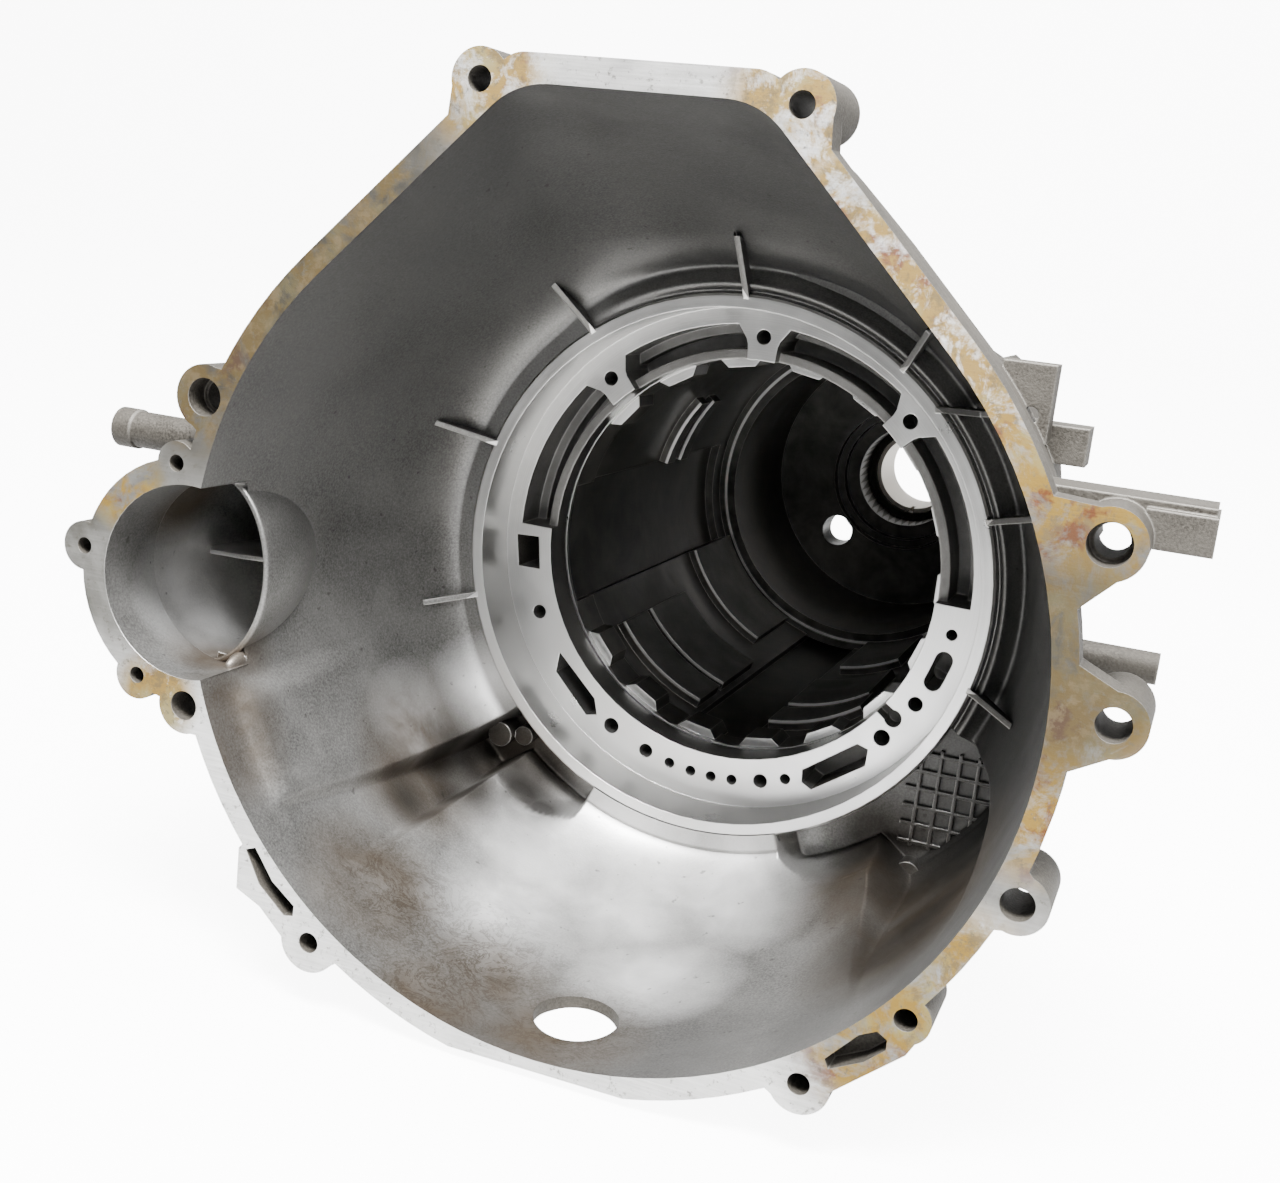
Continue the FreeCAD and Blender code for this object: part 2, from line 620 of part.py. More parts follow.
# Bolt, dowel and screw bores.
bores = []
for name, x, z, radius, flare, bore in LUGS:
    if bore == "through":
        bores.append(cylinder(f"bolt_bore_{name}", "bolt_bore", 60, x, "-bell_depth - 1", z))
    elif bore == "top":
        bores.append(cylinder(f"bolt_bore_{name}", "top_bolt_bore", 80, x, "-bell_depth - 1", z))
    elif bore == "tapped":
        bores.append(cylinder(f"tapped_bore_{name}", "tapped_bore", "tapped_depth", x, "-bell_depth", z))
    else:
        bores.append(cylinder(f"bore_{name}", "dowel_bore", "dowel_depth", x, "-bell_depth", z))
        bores.append(cylinder(f"through_{name}", "dowel_through", 60, x, "-bell_depth - 1", z))
for name, x, z, radius in STARTER_LUGS:
    bores.append(cylinder(f"starter_bore_{name}", "starter_bore", "tapped_depth", x, "-bell_depth", z))
bores += [
    solid("corner_slot_left", prism([rim_point(*corner) for corner in (
        (220.1, 9.6), (220.6, 4.5), (225.6, 6.8), (230.0, 5.4), (230.9, 9.3), (230.0, 13.2), (224.8, 13.9))],
        face - 1, face + 12)),
    solid("corner_slot_right", prism([rim_point(*corner) for corner in (
        (-50.3, 6.9), (-50.6, 11.3), (-46.3, 15.0), (-43.2, 15.4), (-42.3, 12.3), (-42.6, 7.3), (-44.8, 4.7))],
        face - 1, face + 12)),
]

SCREWS = UPPER_SCREWS + (-28.2, -76.1, -108.6, 203.2)
for index, angle in enumerate(SCREWS):
    bores.append(cylinder(
        f"seat_screw_{index + 1}", "screw_bore", "screw_depth", f"screw_circle * cos({angle})", 0,
        f"screw_circle * sin({angle})"))
FLUID_PORTS = (-8.1, -69.3, -83.9, -89.6, -95.3, -101.4)
for index, angle in enumerate(FLUID_PORTS):
    bores.append(cylinder(
        f"fluid_port_{index + 1}", "fluid_bore", "fluid_depth", f"screw_circle * cos({angle})", -0.5,
        f"screw_circle * sin({angle})"))
for index, angle in enumerate((-40.7, -120.1)):
    bores.append(cylinder(
        f"fluid_port_large_{index + 1}", "fluid_bore_large", "fluid_depth", f"screw_circle * cos({angle})", -0.5,
        f"screw_circle * sin({angle})"))
bores += [
    cylinder("tube_boss_bore", 4.2, 30, "bell_radius + 9.5", "-bell_depth + 92", 13, axis="X"),
    cylinder("ear_bore", 3.4, 40, "bell_radius - 32.5", "-bell_depth + 60", 112),
]
for side in (-1, 1):
    for index in range(5):
        share = index / 4.0
        y = f"pan_rail_start + pan_rail_wall / 2 + {share} * (rail_length - pan_rail_wall)"
        bores.append(cylinder(
            f"pan_bore_{'left' if side < 0 else 'right'}_{index + 1}", "pan_bolt_bore", "pan_bolt_depth",
            f"{side} * (cavity_radius - pan_rail_wall / 2)", y, "-rail_bottom", axis="Z"))
for index in range(6):
    angle = 60.0 * index + 30.0
    bores.append(cylinder(
        f"tail_bore_{index + 1}", "tapped_bore", "tail_flange_thickness",
        f"(tail_flange_radius - 9) * cos({angle})", "tail_end - tail_flange_thickness + 1",
        f"(tail_flange_radius - 9) * sin({angle})"))

case_casting = cut("case_casting", filled_casting, fuse("bores", bores))
case_casting.Label = "case_casting"

# Bush pressed into the output bore, flush with the tail.
bush_outer = cylinder("bush_outer", "output_bore_radius", "bush_length", 0, "tail_end - bush_length", 0)
bush_inner = cylinder(
    "bush_inner", "output_bore_radius - bush_wall", "bush_length + 2", 0, "tail_end - bush_length - 1", 0)
bush_slot = box("bush_slot", 3, 12, 12, -1.5, "tail_end - bush_length - 1", "-output_bore_radius - 4")
rear_case_bush = cut("rear_case_bush", bush_outer, fuse("bush_voids", [bush_inner, bush_slot]))
rear_case_bush.Label = "rear_case_bush"

doc.recompute()

for obj in doc.Objects:
    if "Invalid" in obj.State or "Error" in obj.State:
        raise RuntimeError(f"{obj.Name} failed: {obj.State}")
os.makedirs("parts", exist_ok=True)
for node in (case_casting, rear_case_bush):
    if node.Shape.isNull() or not node.Shape.isValid():
        raise RuntimeError(f"{node.Label} has no valid shape")
    if len(node.Shape.Solids) != 1:
        raise RuntimeError(f"{node.Label} is {len(node.Shape.Solids)} solids")
    node.Shape.exportStep(os.path.join("parts", f"{node.Label}.step"))
    print(node.Label, round(node.Shape.Volume / 1000.0, 1), "cm3")
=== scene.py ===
import math

import bpy
import numpy as np
from mathutils import Matrix, Vector


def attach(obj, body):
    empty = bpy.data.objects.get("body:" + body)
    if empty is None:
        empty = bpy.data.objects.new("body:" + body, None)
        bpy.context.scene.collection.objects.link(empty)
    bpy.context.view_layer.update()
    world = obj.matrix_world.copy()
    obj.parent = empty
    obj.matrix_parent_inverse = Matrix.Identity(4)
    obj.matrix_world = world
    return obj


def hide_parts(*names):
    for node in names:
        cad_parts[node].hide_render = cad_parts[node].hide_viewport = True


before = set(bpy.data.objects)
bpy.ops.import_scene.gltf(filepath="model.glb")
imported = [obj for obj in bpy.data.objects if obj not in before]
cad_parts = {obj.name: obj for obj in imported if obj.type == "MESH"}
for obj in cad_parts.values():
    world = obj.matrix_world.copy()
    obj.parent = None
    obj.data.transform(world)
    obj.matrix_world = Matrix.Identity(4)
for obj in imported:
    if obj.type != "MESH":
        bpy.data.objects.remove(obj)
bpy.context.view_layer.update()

# Gearbox housing: the casting is dressed for the photograph. Forms are worked out in millimetres
# and stored in metres. Y runs back from the engine face, Z is up, and the origin is the pump
# bore's centre at its seat. Angles turn about Y, from X towards Z.
MM = 0.001

# Bell and bowl.
FACE = -216.5
FLOOR = -30.0
BELL_RADIUS = 190.5
BELL_TOP = 219.0
BELL_CORNER = 34.0
FLOOR_RADIUS = 150.0
DRAIN_X, DRAIN_Y = 1.5, -174.0
DRAIN_RADIUS = 20.0

# Pump boss.
BORE_FRONT = -31.5
RIM_RADIUS = 142.5
BORE_RADIUS = 135.5
TROUGH_RADIUS = 126.8
TROUGH_DEPTH = 34.0

# Gear cavity, pan rail and tail.
MOUTH_RADIUS = 108.5
MOUTH_LENGTH = 50.0
GROOVE_RADIUS = 111.1
GROOVE_BACK = 23.0
SPLINE_RADIUS = 103.7
SPLINE_START = 27.0
CHANNEL_RADIUS = 118.0
PAD_RADIUS = 106.0
BEARING_END = 475.0
PAN_RAIL = -129.0
TAIL_END = 547.0

# Recesses, in the CAD's measures: where they start and end in Y, the deep and the shallow radius,
# and the angles of each one's ends and of its step.
RECESS_START = -190.0
RECESS_FLOOR = -8.0
RECESS_RADIUS = 190.0
STEP_RADIUS = 167.0
LEFT_RECESS = (-143.0, -130.0, -113.0)
RIGHT_RECESS = (-69.0, -51.0, -25.0)

# Starter pocket: a round nose at the engine face and an ellipsoid pod behind it. POD_WALL is the new
# pod's wall, POD_SKIN the CAD's, and POD_SLOPE turns a share of the pod into about millimetres.
NOSE = (-193.0, -10.0)
NOSE_RADIUS = 45.0
POD_CENTRE = np.array([-207.0, -180.0, -10.0])
POD_HALF = np.array([31.0, 76.0, 45.0])
POD_WALL = 3.0
POD_SKIN = 3.5
POD_SLOPE = 35.0

# The bowl's run goes from 0 at the engine face to 1 at the pump rim. The wall ends at the first
# value, a recess's wall at the second, and the floor reaches in to INNER_END.
WALL_END = 0.84
RECESS_WALL_END = 0.68
INNER_END = RIM_RADIUS - 1.0

# A recess's corner is rounded by 5 mm. Its edges fade by these degrees outwards and inwards, and it
# fades in over this range of Y behind the engine face.
RECESS_CORNER = 5.0
EDGE_OUT, EDGE_IN = 1.3, 0.8
RECESS_FADE = (-205.0, -170.0)

# How each recess meets the bowl: the angles over which its shallow sector turns into the deep
# one, and its two edges, each as depths in Y and the edge's angle there.
RECESS_EDGES = (
    {"deep": (-129.2, -131.5),
     "low": ((-187.0, -31.0), (-142.6, -137.0)),
     "high": ((-205.0, -187.0, -99.0, -61.0, -40.0), (-136.0, -131.0, -129.0, -125.0, -114.0))},
    {"deep": (-52.0, -49.8),
     "low": ((-200.0, -187.0, -125.0, -76.0, -53.0, -32.0),
             (-43.0, -47.5, -50.5, -53.5, -61.0, -69.0)),
     "high": ((-193.0, -167.0, -127.0, -94.0, -60.0, -31.0),
              (-36.0, -31.5, -29.0, -26.5, -25.0, -25.0))},
)


def link(name, mesh):
    """A new object at the origin for a finished mesh, a light or a camera."""
    obj = bpy.data.objects.new(name, mesh)
    bpy.context.scene.collection.objects.link(obj)
    return obj


def surface(name, points, faces, sharp=None):
    """A smooth object from points in millimetres and faces; sharp is the angle that stays an edge."""
    mesh = bpy.data.meshes.new(name)
    mesh.from_pydata((np.asarray(points) * MM).tolist(), [], [list(face) for face in faces])
    mesh.shade_smooth()
    if sharp is not None:
        mesh.set_sharp_from_angle(angle=math.radians(sharp))
    obj = link(name, mesh)
    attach(obj, "root")
    return obj


def smoothstep(value, low, high):
    """0 below low, 1 above high, with a smooth ramp between; low may be the larger one."""
    share = np.clip((value - low) / (high - low), 0.0, 1.0)
    return share * share * (3.0 - 2.0 * share)


def polar(angle, reach, y):
    """Points at an angle and a reach from the main axis."""
    return np.stack([reach * np.cos(angle), y, reach * np.sin(angle)], axis=-1)


def grid_quads(index):
    """Quads between the neighbours of a grid of point numbers."""
    corners = (index[:-1, :-1], index[1:, :-1], index[1:, 1:], index[:-1, 1:])
    return np.stack([corner.ravel() for corner in corners], axis=1)


def closed_ring(rows, columns):
    """Point numbers of a grid whose last column meets its first one again."""
    index = np.arange(rows * columns).reshape(rows, columns)
    return np.hstack([index, index[:, :1]])


def bell_reach(theta, radius, top, corner):
    """The bell section's distance from the axis at an angle.

    A circle below; above it 45 degree shoulders tangent to the circle, arcs of radius corner,
    and a flat top.
    """
    bend = np.abs(theta - math.pi / 2)
    half_top = radius * math.sqrt(2.0) - top
    tangent = corner * math.tan(math.pi / 8)
    side = tangent * math.sqrt(0.5)
    centre_x, centre_z = half_top - tangent, top - corner
    inside = np.clip(math.pi / 4 - bend, 0.0, math.pi / 4)
    line = radius / np.cos(inside)
    flat = top / np.cos(np.clip(bend, 0.0, math.pi / 3))
    along = centre_x * np.sin(bend) + centre_z * np.cos(bend)
    room = np.maximum(along ** 2 - centre_x ** 2 - centre_z ** 2 + corner ** 2, 0.0)
    arc = along + np.sqrt(room)
    first = np.arctan2(half_top - tangent, top)
    last = np.arctan2(half_top + side, top - side)
    reach = np.where(bend < first, flat, np.where(bend < last, arc, line))
    return np.where(bend < math.pi / 4, reach, radius)


def bell_profile(theta, share):
    """Reach and Y of the bowl at an angle and a share of its depth.

    The radius falls from the bell's to the floor's as (1 - share ** 2.2) ** 0.625, while the
    flat top sinks into the circle and its corners widen until the section is round.
    """
    radius = FLOOR_RADIUS + (BELL_RADIUS - FLOOR_RADIUS) * (1.0 - share ** 2.2) ** 0.625
    top = radius + (BELL_TOP - BELL_RADIUS) * (1.0 - share)
    corner = BELL_CORNER + (radius * 0.7 - BELL_CORNER) * share
    return bell_reach(theta, radius, top, corner), FACE + (FLOOR - FACE) * share


# The bowl.

def angle_grid():
    """Angles round the bowl, closer together at the recesses and the starter pod."""
    parts = [
        np.arange(-180.0, 180.0, 0.62),
        np.arange(-152.0, -108.0, 0.2),
        np.arange(-74.0, -18.0, 0.22),
        np.arange(160.0, 180.0, 0.3),
        np.arange(-180.0, -160.0, 0.3),
    ]
    return np.radians(np.unique(np.round(np.concatenate(parts), 2)))


def bell_points(angle, run):
    """The bowl without its recesses: the bell's curve, then the floor in to the pump rim.

    On it, added as smooth steps and bell curves: a ridge with a valley round the rim on the
    upper right, a low collar at the bottom, and on the left a flat panel that leans in behind
    a crease near the engine face.
    """
    degrees = np.degrees(angle)
    share = 1.0 - (1.0 - np.clip(run / WALL_END, 0.0, 1.0)) ** 1.8
    reach, y = bell_profile(angle, share)
    inward = np.clip((run - WALL_END) / (1.0 - WALL_END), 0.0, 1.0)
    reach = reach + (INNER_END - reach) * inward

    ridge = smoothstep(degrees, -42, -12) * smoothstep(degrees, 128, 92)
    valley = np.exp(-((reach - 156.5) / 4.6) ** 2)
    crest = np.exp(-((reach - 147.6) / 2.2) ** 2)
    dip = np.exp(-((reach - 144.0) / 1.0) ** 2)
    y = y + ridge * (9.0 * valley - 3.2 * crest + 2.2 * dip)
    collar = smoothstep(degrees, -140, -128) * smoothstep(degrees, -52, -64)
    y = y - 2.2 * collar * smoothstep(reach, 151.4, 149.8)

    panel = smoothstep(degrees, -179, -172) * smoothstep(degrees, -138, -146)
    off_nose = np.hypot(reach * np.cos(angle) - NOSE[0], reach * np.sin(angle) - NOSE[1])
    panel = panel * smoothstep(off_nose, NOSE_RADIUS + 3.0, NOSE_RADIUS + 18.0)
    reach = reach - 5.0 * panel * smoothstep(y, -197, -190) * smoothstep(y, -70, -150)
    return polar(angle, reach, y)


def recess_points(angle, run, deep):
    """A recess: straight back, round a corner, then in along its floor to the pump rim.

    Its radius is s + d * (r - s). Here r is the recess radius, held within the bell's mouth, s is
    the step's radius, or the bell's own where that is larger, and d is 1 in the deep sector.
    """
    wall_share = np.clip(run / RECESS_WALL_END, 0.0, 1.0)
    floor_share = np.clip((run - RECESS_WALL_END) / (1.0 - RECESS_WALL_END), 0.0, 1.0)
    y = FACE + (RECESS_FLOOR - FACE) * wall_share ** 0.9
    skin = bell_profile(angle, np.clip((y - FACE) / (FLOOR - FACE), 0.0, 1.0))[0]
    mouth = bell_profile(angle, np.zeros_like(angle))[0]
    shallow = np.maximum(STEP_RADIUS, np.where(y < FLOOR, skin, STEP_RADIUS))
    radius = shallow + (np.minimum(RECESS_RADIUS, mouth) - shallow) * deep
    reach = radius + (INNER_END - radius) * floor_share
    bend = np.exp(-((wall_share - 1.0) * 14.0) ** 2) * np.exp(-(floor_share * 9.0) ** 2)
    return polar(angle, reach - RECESS_CORNER * bend, y - RECESS_CORNER * bend)


def bowl_surface():
    """The bowl's inner skin as a grid of angles by run, with both recesses let into it.

    The skin is bell + m * (recess - bell). The mask m is a smooth step across a recess's two
    edges, which drift with the depth, and it fades in behind the engine face.
    """
    theta = angle_grid()
    u = np.concatenate([np.linspace(0.0, WALL_END, 60), np.linspace(WALL_END, 1.0, 22)[1:]])
    angle, run = np.meshgrid(theta, u, indexing="ij")
    degrees = np.degrees(angle)
    points = bell_points(angle, run)
    y = points[..., 1]
    for recess in RECESS_EDGES:
        low = np.interp(y, *recess["low"])
        high = np.interp(y, *recess["high"])
        mask = smoothstep(degrees, low - EDGE_OUT, low + EDGE_IN)
        mask = mask * smoothstep(degrees, high + EDGE_OUT, high - EDGE_IN)
        mask = mask * smoothstep(y, *RECESS_FADE)
        target = recess_points(angle, run, smoothstep(degrees, *recess["deep"]))
        points = points + mask[..., None] * (target - points)
    index = np.arange(angle.size).reshape(angle.shape)
    a, b, c, d = grid_quads(np.vstack([index, index[:1]])).T
    faces = np.concatenate([np.stack([a, b, c], axis=1), np.stack([a, c, d], axis=1)])
    return points.reshape(-1, 3), faces


def clip(points, faces, inside):
    """Cut away what lies where inside(points) > 0; triangles on the border are cut at the zero line."""
    value = inside(points)
    value = np.where(np.abs(value) < 1e-6, -1e-6, value)
    out = value[faces] > 0.0
    kept = faces[~out.any(axis=1)]
    mixed = faces[out.any(axis=1) & ~out.all(axis=1)]
    new_points, new_faces, edges = [], [], {}

    def crossing(i, j):
        key = (min(i, j), max(i, j))
        if key not in edges:
            share = value[key[0]] / (value[key[0]] - value[key[1]])
            edges[key] = len(points) + len(new_points)
            new_points.append(points[key[0]] + share * (points[key[1]] - points[key[0]]))
        return edges[key]

    for face in mixed:
        order = [int(i) for i in face]
        ring = []
        for i, j in zip(order, order[1:] + order[:1]):
            if value[i] < 0.0:
                ring.append(i)
            if (value[i] < 0.0) != (value[j] < 0.0):
                ring.append(crossing(i, j))
        for k in range(1, len(ring) - 1):
            new_faces.append((ring[0], ring[k], ring[k + 1]))
    points = np.vstack([points, np.array(new_points).reshape(-1, 3)])
    faces = np.vstack([kept, np.array(new_faces, dtype=int).reshape(-1, 3)])
    used, faces = np.unique(faces, return_inverse=True)
    return points[used], faces.reshape(-1, 3)


def pod_share(points, wall=0.0):
    """How far out a point is from the pod's centre: 1 on the pod's surface."""
    return np.sqrt((((points - POD_CENTRE) / (POD_HALF + wall)) ** 2).sum(axis=1))


def starter_void(points):
    """Positive inside the starter's pocket: a cylinder at the face, the pod behind it."""
    off_axis = np.hypot(points[:, 0] - NOSE[0], points[:, 2] - NOSE[1])
    cylinder = np.minimum(NOSE_RADIUS - off_axis, POD_CENTRE[1] - 0.4 - points[:, 1])
    pod = (1.0 - pod_share(points, POD_WALL * 0.6)) * POD_SLOPE
    return np.maximum(cylinder, np.where(points[:, 1] > POD_CENTRE[1] - 2.0, pod, -1.0))


def drain_void(points):
    """Positive inside the drain hole at the bottom of the bell."""
    off_axis = np.hypot(points[:, 0] - DRAIN_X, points[:, 1] - DRAIN_Y)
    return np.where(points[:, 2] < 0.0, DRAIN_RADIUS - off_axis, -1.0)


bowl_points, bowl_faces = bowl_surface()
bowl_points, bowl_faces = clip(bowl_points, bowl_faces, starter_void)
bowl_points, bowl_faces = clip(bowl_points, bowl_faces, drain_void)
bowl = surface("bowl", bowl_points, bowl_faces, sharp=50)


# The starter pocket.

def pod_surface():
    """The pod as one closed wall: out along the inner ellipsoid, over a round lip, back outside."""
    steps = np.linspace(math.pi / 2, 0.0, 26)
    lip = np.linspace(math.pi, 0.0, 7)[1:-1]
    inner = [(np.cos(s), np.sin(s), 0.0, 0.0) for s in steps]
    round_lip = [(1.0, 0.0, POD_WALL / 2 * (1.0 + np.cos(s)), -POD_WALL / 2 * np.sin(s)) for s in lip]
    outer = [(np.cos(s), np.sin(s), POD_WALL, 0.0) for s in steps[::-1]]
    around = np.linspace(0.0, 2 * math.pi, 96, endpoint=False)
    rings = []
    for wide, deep, offset, lift in inner + round_lip + outer:
        x = POD_CENTRE[0] + (POD_HALF[0] + offset) * wide * np.cos(around)
        z = POD_CENTRE[2] + (POD_HALF[2] + offset) * wide * np.sin(around)
        y = np.full_like(around, POD_CENTRE[1] + (POD_HALF[1] + offset) * deep + lift)
        rings.append(np.stack([x, y, z], axis=1))
    return np.concatenate(rings), grid_quads(closed_ring(len(rings), len(around)))


def web_surface():
    """The web under the lower end of the pocket's lip: a plate 1 mm thick along the pocket's edge."""
    turn = np.radians(np.linspace(-98.0, -76.0, 10))
    inner, outer = NOSE_RADIUS - 4.0, NOSE_RADIUS + 1.5
    front, back = POD_CENTRE[1] - 0.3, POD_CENTRE[1] + 0.7
    rings = [polar(turn, radius, np.full_like(turn, y)) + (NOSE[0], 0.0, NOSE[1])
             for radius, y in ((inner, front), (outer, front), (outer, back), (inner, back))]
    count = len(turn)
    index = np.arange(4 * count).reshape(4, count)
    sides = grid_quads(np.vstack([index, index[:1]]).T).tolist()
    return np.concatenate(rings), sides + [index[:, 0].tolist(), index[::-1, -1].tolist()]


def lump_surface(centre, half):
    """A rounded lump: an ellipsoid about a centre with its three half axes, one point at each pole."""
    rise = np.linspace(-math.pi / 2, math.pi / 2, 18)[1:-1]
    around = np.linspace(0.0, 2 * math.pi, 32, endpoint=False)
    up, turn = np.meshgrid(rise, around, indexing="ij")
    unit = np.stack([np.cos(up) * np.cos(turn), np.cos(up) * np.sin(turn), np.sin(up)], axis=-1)
    unit = unit.reshape(-1, 3)
    points = np.concatenate([unit, [(0.0, 0.0, -1.0), (0.0, 0.0, 1.0)]]) * half + centre
    ring = closed_ring(len(rise), len(around))
    faces = grid_quads(ring.T).tolist()
    low, high = len(unit), len(unit) + 1
    faces += [[low, ring[0, i + 1], ring[0, i]] for i in range(len(around))]
    faces += [[high, ring[-1, i], ring[-1, i + 1]] for i in range(len(around))]
    return points, faces


FIN_OUTLINE = np.array([
    (-175.5, -177.0), (-200.0, -166.5), (-226.0, -152.0), (-233.0, -141.0), (-230.0, -128.0),
    (-222.0, -114.0), (-207.0, -106.0), (-193.0, -112.0), (-184.0, -127.0), (-178.0, -150.0)])


def fin_surface():
    """The fin across the starter pocket: a plate 2 mm thick, tilted by 0.157 along X."""
    x, y = FIN_OUTLINE.T
    height = -2.4 + 0.157 * (x + 177.0)
    count = len(x)
    points = np.concatenate([np.stack([x, y, height + lift], axis=1) for lift in (-1.0, 1.0)])
    faces = [list(range(count)), list(range(2 * count - 1, count - 1, -1))]
    for i in range(count):
        j = (i + 1) % count
        faces.append([j, i, count + i, count + j])
    return points, faces


pod = surface("starter_pod", *pod_surface())
fin = surface("starter_fin", *fin_surface(), sharp=30)
web = surface("pocket_web", *web_surface(), sharp=30)
low_lump = surface("pocket_lump_low", *lump_surface((-187.0, -170.0, -54.0), (4.6, 20.0, 6.6)))
high_lump = surface("pocket_lump_high", *lump_surface((-190.8, -172.0, 34.0), (3.8, 14.0, 4.2)))
pocket_pieces = (pod, fin, web, low_lump, high_lump)


# The rest of the casting: the CAD node's own faces, without those that the bowl and pod replace.

def welded(node):
    """A CAD node's points in millimetres and its triangles, with shared points merged."""
    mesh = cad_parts[node].data
    mesh.calc_loop_triangles()
    points = np.empty(len(mesh.vertices) * 3)
    mesh.vertices.foreach_get("co", points)
    points = points.reshape(-1, 3) / MM
    faces = np.empty(len(mesh.loop_triangles) * 3, dtype=np.int32)
    mesh.loop_triangles.foreach_get("vertices", faces)
    faces = faces.reshape(-1, 3)
    unique, back = np.unique(np.round(points, 3), axis=0, return_inverse=True)
    faces = back.ravel()[faces]
    a, b, c = faces.T
    return unique, faces[(a != b) & (b != c) & (c != a)]


def measures(points, faces):
    """Each face's centre, normal, reach and angle, and its normal's outward and sideways parts."""
    a, b, c = points[faces[:, 0]], points[faces[:, 1]], points[faces[:, 2]]
    normal = np.cross(b - a, c - a)
    normal = normal / np.maximum(np.linalg.norm(normal, axis=1, keepdims=True), 1e-12)
    centre = (a + b + c) / 3.0
    reach = np.hypot(centre[:, 0], centre[:, 2])
    safe = np.maximum(reach, 1e-9)
    outward = (normal[:, 0] * centre[:, 0] + normal[:, 2] * centre[:, 2]) / safe
    sideways = (normal[:, 2] * centre[:, 0] - normal[:, 0] * centre[:, 2]) / safe
    degrees = np.degrees(np.arctan2(centre[:, 2], centre[:, 0]))
    return centre, normal, reach, degrees, outward, sideways


def expected_reach(degrees, y):
    """The reach of the CAD's bell at an angle and a depth, straight between its loft sections."""
    theta = np.radians(degrees)
    shares = np.array([0.0, 0.3, 0.55, 0.76, 0.91, 1.0])
    depths = FACE + (FLOOR - FACE) * shares
    sections = [bell_profile(theta, np.full_like(theta, share))[0] for share in shares]
    table = np.stack(sections, axis=1)
    step = np.clip(np.searchsorted(depths, y) - 1, 0, len(shares) - 2)
    part = np.clip((y - depths[step]) / (depths[step + 1] - depths[step]), 0.0, 1.0)
    rows = np.arange(len(theta))
    return table[rows, step] + part * (table[rows, step + 1] - table[rows, step])


def replaced_faces(points, faces):
    """True for the casting's faces on the bowl, its floor, the recesses' walls or the starter pod."""
    centre, normal, reach, degrees, outward, sideways = measures(points, faces)
    y, along = centre[:, 1], normal[:, 1]
    inward = -(outward + along) * 0.7
    skin = (np.abs(reach - expected_reach(degrees, y)) < 1.8) & (inward > 0.3)
    skin &= (y > FACE + 0.05) & (y < FLOOR + 0.5)
    floor = (np.abs(y - FLOOR) < 0.1) & (along < -0.9)
    floor &= (reach < FLOOR_RADIUS + 4.0) & (reach > RIM_RADIUS)

    recess = (degrees > LEFT_RECESS[0] - 1.0) & (degrees < LEFT_RECESS[2] + 0.5)
    recess |= (degrees > RIGHT_RECESS[0] - 0.5) & (degrees < RIGHT_RECESS[2] + 0.5)
    recess &= (reach > RIM_RADIUS + 0.2) & (y < RECESS_FLOOR + 0.2) & (y > FACE + 1.0)
    to_edge = np.abs(degrees[:, None] - np.array(LEFT_RECESS + RIGHT_RECESS)).min(axis=1)
    walls = (np.abs(reach - RECESS_RADIUS) < 0.8) & (outward < -0.7)
    walls |= (np.abs(reach - STEP_RADIUS) < 0.8) & (outward < -0.7)
    walls |= (np.abs(y - RECESS_FLOOR) < 0.1) & (along < -0.9)
    walls |= (np.abs(sideways) > 0.9) & (to_edge < 0.35)
    walls |= (along > 0.9) & (y < RECESS_START + 10.0)

    pod_skin = np.abs(pod_share(centre) - 1.0) < 0.045
    pod_skin |= np.abs(pod_share(centre, POD_SKIN) - 1.0) < 0.045
    pod_skin &= (y > POD_CENTRE[1] + 0.05) & (reach < 260.0)
    return skin | floor | (recess & walls) | pod_skin


rest_points, rest_faces = welded("case_casting")
rest_faces = rest_faces[~replaced_faces(rest_points, rest_faces)]
used, rest_faces = np.unique(rest_faces, return_inverse=True)
rest_points, rest_faces = rest_points[used], rest_faces.reshape(-1, 3)
casting = surface("casting", rest_points, rest_faces, sharp=28)
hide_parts("case_casting")


# Materials.

